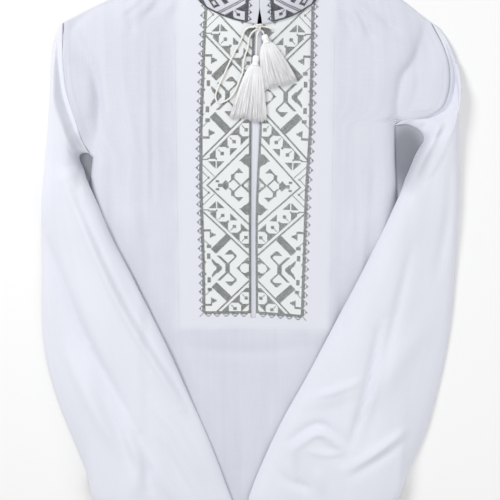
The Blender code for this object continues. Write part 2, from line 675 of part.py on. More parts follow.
def make_tassel(name, values, material):
    """A bound head with a fan of strands, all grown from one grid so that the roots are fused."""
    size = dict(zip(TASSEL_COLUMNS, values))
    head = np.array((size["head_x"], size["head_y"]))
    end = np.array((size["end_x"], size["end_y"]))
    length = np.linalg.norm(end - head)
    down = (end - head) / length
    across = np.array((-down[1], down[0]))
    floor = front_top(*head) + FRINGE_CLEARANCE

    def place(along, side, deep):
        """A point of the tassel: along its axis, to its side, and up through its depth."""
        x, y = head + down * along + across * side
        ground = max(floor if along <= size["head_length"] else 0.0, front_top(x, y) + FRINGE_CLEARANCE)
        return Vector((x, y, ground + deep)) * MM

    mesh = bmesh.new()
    half = size["head_width"] / 2
    rings = []
    keys = rim_of_grid(STRANDS_ACROSS, STRANDS_DEEP)
    for share, narrow in TASSEL_HEAD:
        points = []
        for column, row in keys:
            side = (column / STRANDS_ACROSS * 2 - 1) * half * narrow
            lift = (row / STRANDS_DEEP - 0.5) * TASSEL_THICKNESS * narrow + TASSEL_THICKNESS / 2
            round_off = 1.0 - 0.35 * (side / half) ** 2 * (1.0 - share)
            lift = (lift - TASSEL_THICKNESS / 2) * round_off + TASSEL_THICKNESS / 2
            points.append(place(share * size["head_length"], side, lift))
        rings.append([mesh.verts.new(point) for point in points])
    grid = dict(zip(keys, rings[-1]))
    for column in range(1, STRANDS_ACROSS):
        for row in range(1, STRANDS_DEEP):
            side = (column / STRANDS_ACROSS * 2 - 1) * half
            lift = row / STRANDS_DEEP * TASSEL_THICKNESS
            grid[(column, row)] = mesh.verts.new(place(size["head_length"], side, lift))
    count = len(keys)
    for ring, after_ring in zip(rings, rings[1:]):
        for k in range(count):
            after = (k + 1) % count
            mesh.faces.new([ring[k], ring[after], after_ring[after], after_ring[k]])
    mesh.faces.new(rings[0][::-1])
    cells = []
    for column in range(STRANDS_ACROSS):
        for row in range(STRANDS_DEEP):
            corners = [(column, row), (column + 1, row), (column + 1, row + 1), (column, row + 1)]
            face = mesh.faces.new([grid[corner] for corner in corners])
            cells.append((face, column, row))
    spread = size["end_width"]
    fall = length - size["head_length"]
    for face, column, row in cells:
        middle = face.calc_center_median()
        ring = [mesh.verts.new(middle + (vert.co - middle) * 0.8) for vert in face.verts]
        base = list(face.verts)
        mesh.faces.remove(face)
        bridge(mesh, base, ring)
        shift = (column + 0.5) / STRANDS_ACROSS - 0.5
        uneven = 1.0 + 0.035 * np.sin(5.1 * column + 2.3 * row)
        for share in (0.3, 0.65, 1.0):
            fan = size["head_width"] + (spread - size["head_width"]) * share ** 0.8
            step_across = fan / STRANDS_ACROSS
            thick = TASSEL_THICKNESS * (1.0 - 0.35 * share) / STRANDS_DEEP
            along = size["head_length"] + fall * share * uneven
            centre_side = shift * fan
            centre_deep = (row + 0.5) * thick
            reach = 0.40 * step_across
            deep = 0.38 * thick
            corners = [(-reach, -deep), (reach, -deep), (reach, deep), (-reach, deep)]
            new_ring = [mesh.verts.new(place(along, centre_side + a, centre_deep + b)) for a, b in corners]
            bridge(mesh, ring, new_ring)
            ring = new_ring
        mesh.faces.new(ring)
    return finish(name, mesh, material)


def bridge(mesh, ring, new_ring):
    count = len(ring)
    for k in range(count):
        after = (k + 1) % count
        mesh.faces.new([ring[k], ring[after], new_ring[after], new_ring[k]])


clear_scene()
PARTS = bpy.data.collections.new("embroidered_shirt")
bpy.context.scene.collection.children.link(PARTS)

make_back(cloth_material("back_cotton", COTTON, 0.85))
make_front(cloth_material("front_cotton", COTTON, 0.85))
make_backing("bib_backing_left", -93.0, SLIT_LEFT, cloth_material("backing_left_cloth", COTTON, 0.9))
make_backing("bib_backing_right", 110.0, SLIT_RIGHT, cloth_material("backing_right_cloth", COTTON, 0.9))
make_placket(cloth_material("placket_cotton", COTTON, 0.85))
make_collar(cloth_material("collar_cotton", COLLAR_COTTON, 0.85))
make_tube("sleeve_left", SLEEVE_LEFT, FRONT_ARMHOLE_LEFT, -1,
          cloth_material("sleeve_left_cotton", COTTON, 0.85))
make_tube("sleeve_right", SLEEVE_RIGHT, FRONT_ARMHOLE_RIGHT, 1,
          cloth_material("sleeve_right_cotton", COTTON, 0.85))
make_tube("cuff_left", CUFF_LEFT, None, -1, cloth_material("cuff_left_cotton", COTTON, 0.85))
make_tube("cuff_right", CUFF_RIGHT, None, 1, cloth_material("cuff_right_cotton", COTTON, 0.85))
make_knot(cloth_material("knot_thread", THREAD, 0.6))
make_cord("cord_bow", BOW_ROUTE, 46, rise_to_knot, cloth_material("bow_thread", THREAD, 0.6))
make_cord("cord_ends", ENDS_ROUTE, 16, lambda share: ENDS_LIFT, cloth_material("ends_thread", THREAD, 0.6))
for tassel_name, tassel_values in TASSELS.items():
    make_tassel(tassel_name, tassel_values, cloth_material(tassel_name + "_thread", THREAD, 0.7))
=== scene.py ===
"""The looks of an embroidered folk shirt that lies flat with its sleeves folded in over the front.

Tables hold millimetres in the frame of the CAD model. Every mesh is made in millimetres and
scaled once, by MM. Left and right are those of someone who looks down on the front.
"""
import math

import bmesh
import bpy
import numpy as np
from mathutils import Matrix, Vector


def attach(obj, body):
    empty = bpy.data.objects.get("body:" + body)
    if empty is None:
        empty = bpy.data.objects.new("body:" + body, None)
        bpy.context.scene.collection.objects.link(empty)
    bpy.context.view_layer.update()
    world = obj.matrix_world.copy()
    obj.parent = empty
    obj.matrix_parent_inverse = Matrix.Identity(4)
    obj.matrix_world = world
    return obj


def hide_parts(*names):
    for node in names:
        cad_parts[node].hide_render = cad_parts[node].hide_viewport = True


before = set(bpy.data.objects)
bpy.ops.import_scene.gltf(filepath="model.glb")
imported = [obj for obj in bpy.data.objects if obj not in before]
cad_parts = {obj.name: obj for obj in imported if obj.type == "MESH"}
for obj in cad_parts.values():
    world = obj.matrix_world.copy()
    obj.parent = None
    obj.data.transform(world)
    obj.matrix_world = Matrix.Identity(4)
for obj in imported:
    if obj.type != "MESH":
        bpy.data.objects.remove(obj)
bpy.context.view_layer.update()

MM = 0.001
CLOTH = 1.2
THIN = 0.9
REST_GAP = 0.6
ARMHOLE_LAP = 0.8
SEAM_TUCK = 1.3
SLEEVE_CLEARANCE = 1.8
EDGE_ROUND = 7.0
SHOULDER_ROUND = 24.0
SLEEVE_FLOOR = 3.4
SLEEVE_SWELL = 1.1
SLEEVE_EASE = (86.0, 62.0)
ARCH_POWERS = (3.2, 0.55)
RIM_HEIGHT = 0.5
HEM_Y = -408.0
SHOULDER_TIP_Y = 306.0
SLIT_FOOT_Y = -80.0
UNDERARM_Y = 134.0
UNDERARM_RIGHT_Y = 176.0
ARMHOLE_FOOT_RIGHT_Y = 170.0
ARMHOLE_RISE = 10.0
ARMHOLE_CLOSING = 46.0
LIFT_Y = 215.0
CHEST_CROWN = 9.0
NECK_RISE = 13.0
NECK_RISE_REACH = (58.0, 62.0)
NECK_CENTRE = (12.5, 305.0)
SIDE_FOLD_WIDTH = 50.0
SIDE_FOLD_LAYERS = 2
COLLAR_WALL = 1.8
COLLAR_SEAM_GAP = 0.5
COLLAR_SHELL = 1.6
COLLAR_BULGE = 1.5
BACK_WALL = 1.1
BACKING_WALL = 0.5
STRIP_WALL = 0.6
CORD_DIAMETER = 2.2
CORD_CLEARANCE = 0.7
PLAN_LOW = (-300.0, -420.0)
PLAN_HIGH = (300.0, 420.0)
PLAN_STEP = 1.0

# Columns and rows of each cloth's grid.
FRONT_COLUMNS = 139
FRONT_ROWS = 320
BACK_GRID = (80, 120)
SLEEVE_GRID = (130, 220)
CUFF_GRID = (120, 24)
COLLAR_GRID = (240, 16)
BACKING_GRID = (30, 100)
PLACKET_GRID = (16, 160)
NECK_SHADE_GRID = (12, 20)

# Outline of the front, from the hem up: x, y.
FRONT_SIDE_LEFT = [(-211, -408), (-209, -300), (-208, -150), (-208, 0), (-207.5, 102), (-203, 134)]
FRONT_ARMHOLE_LEFT = [(-203, 134), (-211, 146), (-222.5, 183), (-233, 222), (-236, 262), (-236, 306)]
FRONT_SIDE_RIGHT = [(205, -408), (203, -300), (201, -150), (199, 0), (195.5, 89), (192, 132), (190.5, 176)]
FRONT_ARMHOLE_RIGHT = [(190.5, 176), (196, 180), (215, 184), (236, 189), (250, 200), (256, 216),
                       (257, 248), (250, 274), (234, 306)]
BACK_LEFT = [(-211, -408), (-209, -300), (-208, -150), (-208, 50), (-214, 85), (-226, 112),
             (-234, 150), (-238, 190), (-240, 230), (-240, 268), (-236, 306)]
BACK_RIGHT = [(205, -408), (203, -300), (201, -150), (198, 40), (204, 75), (222, 105), (241, 140),
              (253, 175), (260, 215), (261, 248), (254, 276), (234, 306)]

# Upper edge from a shoulder tip to the centre: x, y.
SHOULDER_LEFT = [(-236, 306), (-205, 321.5), (-177.5, 334), (-125, 352), (-74, 367)]
SHOULDER_RIGHT = [(234, 306), (215, 320), (196.5, 334), (146, 353), (97, 367)]
FRONT_NECK_LEFT = [(-74, 367), (-70, 352), (-64, 337.5), (-53, 329.5), (-38, 322), (-21, 315.5),
                   (-5, 309), (9, 306)]
FRONT_NECK_RIGHT = [(97, 367), (93.5, 352), (88.5, 337.5), (71, 327.5), (52, 318), (30, 311), (18, 306)]
BACK_NECK_LEFT = [(-74, 367), (-66, 362), (-40, 356), (12.5, 352)]
BACK_NECK_RIGHT = [(97, 367), (88, 362), (64, 356), (12.5, 352)]
SLIT_LEFT = [(4, -408), (4, -80), (4, 80), (4.5, 177), (9, 306)]
SLIT_RIGHT = [(10.5, -408), (10.5, -80), (10.5, 80), (15, 177), (18, 306)]

# Crease beside each armhole, where the chest drops to the arm: x, y, from the side up.
CREASE_LEFT = [(-208, 0), (-207, 102), (-202, 132), (-198, 158), (-194.5, 183), (-192.5, 209),
               (-195.5, 240), (-203.5, 262), (-226, 306)]
CREASE_RIGHT = [(199, 0), (195.5, 89), (192, 132), (190.5, 183), (192.5, 209), (198, 240),
                (212.5, 262), (226, 306)]

# Folds: three points x, y along each, its half width, and its height (a trough is below 0).
FRONT_FOLDS = [
    ((-119, 334), (-139, 319), (-152, 305), 7, 2.6),
    ((-93, 334), (-103, 322), (-106, 312), 6, 2.2),
    ((118, 330), (142, 312), (182, 284), 7, 2.6),
    ((131, 318), (142, 301), (147, 280), 6, 2.0),
    ((-122, 295), (-121, 180), (-121, 80), 9, 1.2),
    ((148, 90), (147, 50), (142, 10), 9, -1.6),
]
SLEEVE_FOLDS = [
    ((-236, 106), (-196, 0), (-90, -200), 11, 3.0),
    ((-271, 44), (-238, -80), (-153, -222), 16, -5.0),
    ((-153, -222), (-140, -262), (-132, -330), 11, -4.0),
    ((-166, -235), (-150, -280), (-158, -330), 9, 3.5),
    ((174, -78), (168, -170), (140, -290), 15, -4.5),
    ((236, -85), (190, -150), (140, -222), 17, 4.0),
    ((72, -196), (104, -190), (148, -172), 10, 3.0),
    ((92, -245), (112, -262), (136, -285), 9, -3.0),
]

# Smaller creases of the ironed cloth, in the same order, only in what shows.
FINE_FRONT_FOLDS = [
    ((-200, 326), (-216, 312), (-230, 292), 5, -2.6),
    ((-151, 322), (-148, 310), (-146, 294), 4, -2.0),
    ((-131, 340), (-146, 328), (-160, 318), 4, 1.8),
    ((-113, 338), (-118, 326), (-129, 315), 4, -1.6),
    ((-202, 262), (-193, 212), (-196, 150), 5, -2.4),
    ((-206, 244), (-204, 214), (-206, 184), 9, 2.2),
    ((138, 324), (148, 306), (161, 286), 4, -2.4),
    ((164, 316), (177, 306), (192, 296), 4, -2.4),
    ((128, 336), (152, 318), (176, 306), 4, 1.8),
    ((116, 322), (128, 306), (133, 284), 5, -1.6),
    ((214, 250), (208, 220), (208, 196), 9, 2.0),
    ((-124, 296), (-124, 190), (-125, 76), 4, -1.3),
    ((-130, 290), (-130, 180), (-131, 66), 4, 1.0),
    ((-152, 240), (-150, 120), (-157, -20), 10, 1.1),
    ((-172, 70), (-150, -40), (-120, -150), 13, -1.8),
    ((-120, -60), (-98, -130), (-70, -200), 12, -1.6),
    ((-182, 160), (-176, 90), (-181, 10), 8, -1.2),
    ((166, 150), (163, 60), (158, -30), 8, -1.4),
    ((155, 110), (154, 40), (150, -20), 5, 1.0),
    ((182, 120), (176, 40), (166, -30), 9, 1.3),
    ((132, -20), (122, -90), (94, -170), 12, -1.6),
    ((150, -60), (120, -140), (86, -210), 10, -1.4),
    ((-96, -120), (0, -128), (104, -118), 9, -0.9),
    ((-40, -150), (-32, -220), (-20, -300), 14, 1.2),
    ((36, -140), (30, -210), (26, -300), 12, -1.2),
]
FINE_SLEEVE_FOLDS = [
    ((-254, 290), (-255, 250), (-255, 212), 3, -4.5),
    ((-248, 216), (-232, 164), (-214, 112), 6, 3.0),
    ((-240, 200), (-228, 168), (-220, 142), 5, -3.5),
    ((-238, 108), (-170, -52), (-88, -204), 6, 2.6),
    ((-226, 92), (-160, -62), (-80, -200), 5, -1.8),
    ((-270, 40), (-222, -96), (-150, -240), 8, -4.2),
    ((-150, -240), (-140, -268), (-133, -300), 5, -2.6),
    ((-146, -246), (-132, -290), (-120, -327), 5, 1.8),
    ((-262, 120), (-258, 20), (-240, -60), 9, 1.6),
    ((-246, -120), (-214, -190), (-176, -260), 10, 2.4),
    ((-206, -160), (-176, -236), (-150, -300), 8, -2.6),
    ((-128, -190), (-98, -236), (-62, -300), 8, 1.9),
    ((-142, -258), (-120, -300), (-100, -338), 5, 1.8),
    ((-118, -248), (-96, -294), (-78, -328), 5, -1.7),
    ((258, 296), (264, 262), (268, 226), 4, -3.5),
    ((267, 222), (238, 164), (208, 100), 7, 5.0),
    ((248, 214), (228, 176), (216, 148), 6, -4.0),
    ((254, 232), (246, 196), (240, 160), 4, 1.6),
    ((262, 130), (262, 60), (252, -20), 8, -1.8),
    ((214, 20), (196, -70), (176, -150), 7, -1.8),
    ((177, -81), (161, -172), (137, -267), 6, -3.2),
    ((184, -84), (169, -172), (147, -262), 6, 2.2),
    ((90, -186), (118, -176), (148, -162), 5, 2.2),
    ((52, -252), (98, -226), (132, -252), 6, -2.2),
    ((60, -262), (98, -238), (126, -258), 5, 1.8),
    ((82, -262), (106, -268), (130, -266), 4, 1.4),
    ((134, -290), (174, -262), (212, -236), 6, 3.0),
    ((140, -302), (180, -274), (216, -250), 6, -1.2),
    ((66, -268), (70, -296), (78, -325), 4, -2.4),
    ((94, -290), (98, -306), (104, -326), 5, 1.8),
    ((44, -296), (60, -310), (84, -318), 6, -1.8),
]
SLEEVE_CREASE_GAIN = 1.8
FRONT_CREASE_GAIN = 1.6

# Right limit of the front's small creases, at three heights.
CREASED_RIGHT_Y = (-408.0, 132.0, 262.0)
CREASED_RIGHT_X = (210.0, 192.0, 250.0)
HEM_TURN = 24.0
HEM_STEP = 0.5
SLIT_COLUMN = 1.0 / FRONT_COLUMNS
SEAM_ROW = 0.02

# Rows of a sleeve or a cuff: the outer edge's x, y, the inner edge's x, y, how far the row bows with
# the armhole, and the height of the cloth above what it lies on.
SLEEVE_LEFT = [
    (-236.3, 306.0, -203.4, 134.5, 1.0, 9.0),
    (-242.0, 296.0, -207.0, 138.0, 1.0, 5.0),
    (-247.0, 282.0, -211.5, 139.5, 0.95, 11.0),
    (-252.0, 259.0, -216.5, 139.0, 0.8, 16.0),
    (-256.0, 222.0, -220.5, 135.5, 0.6, 19.0),
    (-260.5, 176.0, -219.0, 127.0, 0.3, 21.0),
    (-266.5, 128.0, -213.5, 116.0, 0.1, 22.0),
    (-272.0, 82.0, -208.5, 102.0, 0.0, 22.0),
    (-275.0, 35.0, -196.0, 72.0, 0.0, 20.0),
    (-276.0, -15.0, -179.0, 30.0, 0.0, 18.0),
    (-278.5, -68.0, -157.0, -15.0, 0.0, 17.0),
    (-277.5, -122.0, -132.5, -68.0, 0.0, 16.0),
    (-268.5, -175.0, -105.0, -129.0, 0.0, 16.0),
    (-255.0, -222.0, -82.0, -184.0, 0.0, 16.0),
    (-241.0, -261.0, -62.5, -230.0, 0.0, 16.0),
    (-226.0, -303.0, -44.5, -277.0, 0.0, 16.0),
    (-212.0, -343.0, -29.0, -322.0, 0.0, 15.0),
    (-186.0, -366.0, -22.5, -341.0, 0.0, 13.0),
    (-143.0, -362.0, -24.0, -351.0, 0.0, 8.0),
]
SLEEVE_RIGHT = [
    (234.3, 306.4, 191.4, 176.5, 1.0, 9.0),
    (243.0, 300.5, 206.0, 177.0, 0.9, 5.0),
    (252.0, 288.5, 219.0, 172.0, 0.78, 11.0),
    (261.0, 266.0, 227.5, 164.0, 0.6, 16.0),
    (267.5, 238.0, 229.0, 156.0, 0.45, 19.0),
    (272.0, 205.0, 225.0, 149.0, 0.28, 21.0),
    (275.0, 166.0, 219.0, 138.0, 0.12, 22.0),
    (278.0, 120.0, 210.0, 115.0, 0.0, 22.0),
    (278.5, 72.0, 197.0, 84.0, 0.0, 22.0),
    (278.0, 22.0, 181.0, 48.0, 0.0, 19.0),
    (277.0, -30.0, 160.0, 3.0, 0.0, 17.0),
    (274.5, -82.0, 132.0, -55.0, 0.0, 16.0),
    (268.5, -137.0, 101.0, -118.0, 0.0, 16.0),
    (259.0, -190.0, 75.0, -170.0, 0.0, 16.0),
    (247.5, -240.0, 50.0, -217.0, 0.0, 16.0),
    (230.0, -287.0, 28.0, -265.0, 0.0, 16.0),
    (209.0, -336.0, 5.5, -322.0, 0.0, 15.0),
    (184.0, -364.0, 0.5, -341.0, 0.0, 13.0),
    (131.0, -362.0, 12.0, -351.0, 0.0, 8.0),
]
CUFF_LEFT = [
    (-136.0, -361.8, -25.5, -351.6, 0.0, 8.5),
    (-136.5, -366.0, -24.5, -356.0, 0.0, 9.0),
    (-134.0, -382.0, -22.5, -376.0, 0.0, 9.0),
    (-132.0, -399.0, -21.0, -396.0, 0.0, 9.0),
    (-131.5, -402.0, -21.5, -399.5, 0.0, 8.5),
]
CUFF_RIGHT = [
    (124.0, -361.8, 13.5, -351.6, 0.0, 8.5),
    (124.5, -366.0, 12.5, -356.0, 0.0, 9.0),
    (122.5, -382.0, 11.0, -376.0, 0.0, 9.0),
    (121.0, -399.0, 10.0, -396.0, 0.0, 9.0),
    (120.5, -402.0, 10.5, -399.5, 0.0, 8.5),
]

COLLAR_COLUMNS = ("seam_x", "seam_y", "top_x", "top_y", "top_z", "back")
COLLAR = [
    (17.6, 304.5, 14.9, 343.0, 33.0, 0.0),
    (31.0, 307.5, 31.0, 345.0, 33.0, 0.0),
    (53.0, 314.0, 52.0, 350.0, 31.0, 0.0),
    (72.0, 323.5, 70.0, 359.0, 28.0, 0.0),
    (86.0, 334.5, 82.0, 372.0, 25.0, 0.0),
    (91.0, 350.0, 87.5, 388.0, 21.0, 0.0),
    (93.0, 361.0, 88.5, 401.0, 17.0, 0.5),
    (90.5, 365.0, 85.0, 407.5, 11.5, 1.0),
    (80.0, 362.5, 74.0, 407.0, 8.5, 1.0),
    (52.0, 357.0, 48.0, 402.0, 8.0, 1.0),
    (12.5, 355.0, 12.5, 399.0, 8.0, 1.0),
    (-27.0, 357.0, -23.0, 402.0, 8.0, 1.0),
    (-56.0, 362.5, -50.0, 407.0, 8.5, 1.0),
    (-67.0, 365.0, -61.5, 407.5, 11.5, 1.0),
    (-69.5, 361.0, -65.0, 401.0, 17.0, 0.5),
    (-67.8, 350.0, -64.0, 388.0, 21.0, 0.0),
    (-63.5, 336.5, -59.0, 372.0, 25.0, 0.0),
    (-53.0, 326.0, -49.0, 360.0, 28.0, 0.0),
    (-39.0, 318.5, -36.0, 351.0, 31.0, 0.0),
    (-15.0, 310.0, -13.0, 345.5, 33.0, 0.0),
    (11.8, 304.5, 13.9, 343.0, 33.0, 0.0),
]

BOW_ROUTE = [(7.8, 300.2), (1.5, 300.0), (-4.0, 296.0), (-7.2, 288.5), (-11.0, 280.0), (-15.5, 272.5),
             (-20.5, 262.5), (-25.0, 253.5), (-30.0, 242.5), (-35.5, 231.5), (-40.0, 221.0), (-41.5, 211.5),
             (-38.5, 205.5), (-31.0, 207.0), (-23.5, 211.5), (-18.5, 217.5), (-14.5, 225.0), (-10.5, 235.0),
             (-7.0, 244.0), (-6.0, 253.0), (-3.5, 266.0), (-0.5, 274.0), (1.0, 284.0), (4.0, 292.0),
             (10.5, 297.6)]
ENDS_ROUTE = [(19.88, 291.88), (18.4, 294.8), (15.0, 296.5), (12.2, 293.5), (11.2, 286.5), (10.8, 278.5),
              (10.6, 270.5), (10.45, 266.38)]
NECK_ROUTE = [(-1.5, 299.2), (3.0, 300.6), (8.0, 301.6), (12.8, 301.8), (18.0, 301.2), (24.0, 300.2),
              (30.0, 298.4)]
NECK_LIFT = 2.2
NECK_BASE_LIFT = 1.2
KNOT_AT = (12.8, 301.0)
KNOT_SIZE = (12.0, 8.5, 6.5)
KNOT_LIFT = 2.8
ENDS_LIFT = 3.3
BOW_END_LIFT = 3.4
BOW_END_SHARE = 0.09
TASSEL_COLUMNS = ("head_x", "head_y", "end_x", "end_y", "head_width", "end_width", "head_length")
TASSELS = {
    "tassel_lower": (10.4, 266.0, 0.5, 185.0, 9.0, 37.0, 13.0),
    "tassel_upper": (20.0, 291.5, 39.5, 228.0, 9.0, 38.0, 11.0),
}

# Half width of a tassel's head along its length, both as shares.
TASSEL_HEAD = [(0.0, 0.45), (0.12, 0.75), (0.3, 0.9), (0.5, 0.95), (0.62, 0.72), (0.8, 0.85), (1.0, 1.0)]
TASSEL_THICKNESS = 7.0
FRINGE_CLEARANCE = 1.6
FAN_SPREAD = 1.26
FAN_POWER = 0.60
THREAD_COUNT = 330
THREAD_LAYERS = 6
THREAD_RADIUS = 0.43
BINDING_TURNS = 3.6
BINDING_RADIUS = 0.5

# The bib is worked in cross-stitch over counted cells. Columns count from the slit outwards and
# rows from the middle of the large diamond, whose pattern is mirrored every HALF_REPEAT rows.
# The worked cloth draws in unevenly, so rows and border lines are given as row, y and y, x.
ROW_LEVELS = [(-120, -78.3), (-75, -12.8), (0, 97.8), (75, 213.2), (160, 339.8)]
BORDER_LEFT = [(-90, -58.4), (-12, -58.5), (97, -61.0), (173, -60.3), (290, -54.8), (330, -52.0)]
BORDER_RIGHT = [(-90, 71.5), (-12, 73.3), (97, 75.8), (173, 80.1), (290, 81.1), (330, 81.5)]
RIGHT_HALF_DROP = [(-90, 0.088), (0, 0.062), (100, 0.052), (220, 0.035), (330, 0.02)]
BORDER_COLUMN = 42
HALF_REPEAT = 75
BIB_FOOT_ROW = -115
BIB_TOP_ROW = 152
PICOT_PITCH = 8
STITCH_WIDE = 1.5
STITCH_HIGH = 1.5
STITCH_RADIUS = 0.30
STITCH_WANDER = 0.025
STITCH_UNEVEN = 0.05
STITCH_LEAN = (1, -1)
BACKING_LEFT_X = -93.0
BACKING_RIGHT_X = 110.0
BACKING_ROWS = (-97.0, 296.0)
PLACKET_ROWS = (-88.0, 298.0)
COLLAR_STITCH_WIDE = 1.5
COLLAR_STITCH_HIGH = 1.19
COLLAR_REPEAT = 44
COLLAR_ROWS = 31
COLLAR_MARGIN = 13.5
COLLAR_LAP = 0.04
NECK_SHADE_ROWS = (301.0, 352.0)
NECK_SHADE_WIDTH = 26.0
SEAM_PITCH = 2.7
SEAM_HALF_WIDE = 0.28
SEAM_HALF_DEEP = 0.24
ARMHOLE_SEAM_INSETS = (2.4, 8.5)
CUFF_SEAM_ROWS = (0.12, 0.9)
SHOULDER_SEAM_INSET = 2.6
BIB_SEAM_TOP = 290.0

CAMERA_AT = (0.0025, 0.2762, 1.3442)
CAMERA_TILT = math.radians(-11.2)
CAMERA_LENS = 73.94

# Name, place in metres, turn in degrees, power in watts, width in metres.
STUDIO_LIGHTS = [("key_soft", (-1.5, 1.3, 1.7), (-35, -38), 36.0, 0.8),
                 ("fill_soft", (1.7, -0.3, 1.6), (0, 46), 14.0, 1.6),
                 ("top_soft", (0, 0.2, 2.6), (0, 0), 5.0, 2.2)]
STUDIO_GLOW = 0.48
FLOOR_HALF = 4.0
FLOOR_DROP = 0.0005


def ramp(value):
    """A soft step from 0 to 1."""
    value = np.clip(value, 0.0, 1.0)
    return value * value * (3.0 - 2.0 * value)


def unit(vectors):
    """The same directions at length 1."""
    return vectors / np.linalg.norm(vectors, axis=-1)[..., None]


def distance_along(points):
    """How far each point of a line lies from its start, measured along the line."""
    steps = np.linalg.norm(np.diff(points, axis=0), axis=1)
    return np.concatenate([[0.0], np.cumsum(steps)])


def point_at(where, at, line):
    """Points of a line, read where its points lie at the distances or shares in at."""
    return np.stack([np.interp(where, at, line[:, k]) for k in range(line.shape[1])], axis=-1)


def table_at(table, where):
    """A table's value between its rows."""
    return np.interp(where, [row[0] for row in table], [row[1] for row in table])


def through(points, count):
    """Points at even steps along a smooth curve through the given ones."""
    points = np.asarray(points, float)
    step = np.linalg.norm(np.diff(points, axis=0), axis=1)
    at = np.concatenate([[0.0], np.cumsum(step)])
    slope = np.gradient(points, at, axis=0)
    want = np.linspace(0.0, at[-1], count)
    span = np.clip(np.searchsorted(at, want, side="right") - 1, 0, len(step) - 1)
    width = step[span][:, None]
    t = ((want - at[span]) / step[span])[:, None]
    start = points[span]
    end = points[span + 1]
    bend_in = slope[span] * width
    bend_out = slope[span + 1] * width
    return (start * (2 * t**3 - 3 * t**2 + 1) + bend_in * (t**3 - 2 * t**2 + t)
            + end * (3 * t**2 - 2 * t**3) + bend_out * (t**3 - t**2))


def edge(*runs):
    """A function that gives x at a height y on an edge made of smooth runs, one above the other."""
    line = np.concatenate([through(run, 120) for run in runs])
    return lambda y: np.interp(y, line[:, 1], line[:, 0])


front_left = edge(FRONT_SIDE_LEFT, FRONT_ARMHOLE_LEFT)
front_right = edge(FRONT_SIDE_RIGHT, FRONT_ARMHOLE_RIGHT)
side_left = edge(FRONT_SIDE_LEFT)
side_right = edge(FRONT_SIDE_RIGHT)
back_left = edge(BACK_LEFT)
back_right = edge(BACK_RIGHT)
crease_left = edge(CREASE_LEFT)
crease_right = edge(CREASE_RIGHT)
slit_left = edge(SLIT_LEFT)
slit_right = edge(SLIT_RIGHT)


def along(line, x, y):
    """How far each point lies from a line of points, and how far along it, as a share."""
    nearest = np.full(np.shape(x), 1e9)
    share = np.zeros(np.shape(x))
    for k, (start, end) in enumerate(zip(line, line[1:])):
        run = end - start
        t = np.clip(((x - start[0]) * run[0] + (y - start[1]) * run[1]) / (run @ run), 0.0, 1.0)
        away = np.hypot(x - start[0] - t * run[0], y - start[1] - t * run[1])
        closer = away < nearest
        nearest = np.where(closer, away, nearest)
        share = np.where(closer, (k + t) / (len(line) - 1), share)
    return nearest, share


def folds_at(folds, x, y):
    """Height that the folds add: each is soft across its width and runs out at both ends."""
    total = np.zeros(np.shape(x))
    for start, middle, end, half_width, height in folds:
        line = through([start, middle, end], 15)
        low = line.min(axis=0) - 2.8 * half_width
        high = line.max(axis=0) + 2.8 * half_width
        near = (x > low[0]) & (x < high[0]) & (y > low[1]) & (y < high[1])
        if near.any():
            away, share = along(line, x[near], y[near])
            fade = np.sin(np.pi * np.clip(share, 0.02, 0.98)) ** 0.5
            total[near] += height * fade * np.exp(-((away / half_width) ** 2))
    return total


def side_layers(x, y, reach):
    """1 over the side margins that are turned under, 0 elsewhere."""
    rows = ramp((80.0 - y) / 40.0)
    inside = np.minimum(x - back_left(y), back_right(y) - x)
    return rows * (1.0 - ramp((inside - SIDE_FOLD_WIDTH - reach) / 14.0))


def shoulder_y(x):
    """Height in y of the shoulder line."""
    return table_at(SHOULDER_LEFT + SHOULDER_RIGHT[::-1], x)


def front_base(x, y):
    """Height of the front's upper face without its folds."""
    base = CLOTH * (1.0 + SIDE_FOLD_LAYERS * side_layers(x, y, 10.0)) + REST_GAP + CLOTH
    inside_left = x - np.where(y > 0, crease_left(y), front_left(y))
    inside_right = np.where(y > 0, crease_right(y), front_right(y)) - x
    near = 1.0 - np.exp(-np.maximum(np.minimum(inside_left, inside_right), 0.0) / EDGE_ROUND)
    from_shoulder = 1.0 - np.exp(-np.maximum(shoulder_y(x) - y, 0.0) / SHOULDER_ROUND)
    crown = CHEST_CROWN * near * from_shoulder
    closing = ARMHOLE_RISE * ramp((SHOULDER_TIP_Y - y) / ARMHOLE_CLOSING)
    armhole = closing * ramp((y - UNDERARM_Y) / 40.0) * ramp(-inside_left / 34.0)
    armhole = armhole + closing * ramp((y - ARMHOLE_FOOT_RIGHT_Y) / 30.0) * ramp(-inside_right / 46.0)
    below_neck = np.maximum(NECK_CENTRE[1] + 6.0 - y, 0.0)
    across = (x - NECK_CENTRE[0]) / NECK_RISE_REACH[0]
    rise = NECK_RISE * np.exp(-across * across) * np.exp(-((below_neck / NECK_RISE_REACH[1]) ** 2))
    return base + crown + armhole + rise


class Relief:
    """Heights worked out once over the plan, and read between its grid's points after that."""

    def __init__(self, height):
        across = np.arange(PLAN_LOW[0], PLAN_HIGH[0] + PLAN_STEP, PLAN_STEP)
        up = np.arange(PLAN_LOW[1], PLAN_HIGH[1] + PLAN_STEP, PLAN_STEP)
        x, y = np.meshgrid(across, up, indexing="ij")
        self.grid = height(x, y)

    def __call__(self, x, y):
        a = (np.asarray(x, float) - PLAN_LOW[0]) / PLAN_STEP
        b = (np.asarray(y, float) - PLAN_LOW[1]) / PLAN_STEP
        a = np.clip(a, 0.0, self.grid.shape[0] - 1.001)
        b = np.clip(b, 0.0, self.grid.shape[1] - 1.001)
        i = a.astype(int)
        j = b.astype(int)
        a = a - i
        b = b - j
        near = self.grid[i, j] * (1.0 - a) + self.grid[i + 1, j] * a
        far = self.grid[i, j + 1] * (1.0 - a) + self.grid[i + 1, j + 1] * a
        return near * (1.0 - b) + far * b


front_height = Relief(lambda x, y: front_base(x, y) + folds_at(FRONT_FOLDS, x, y))


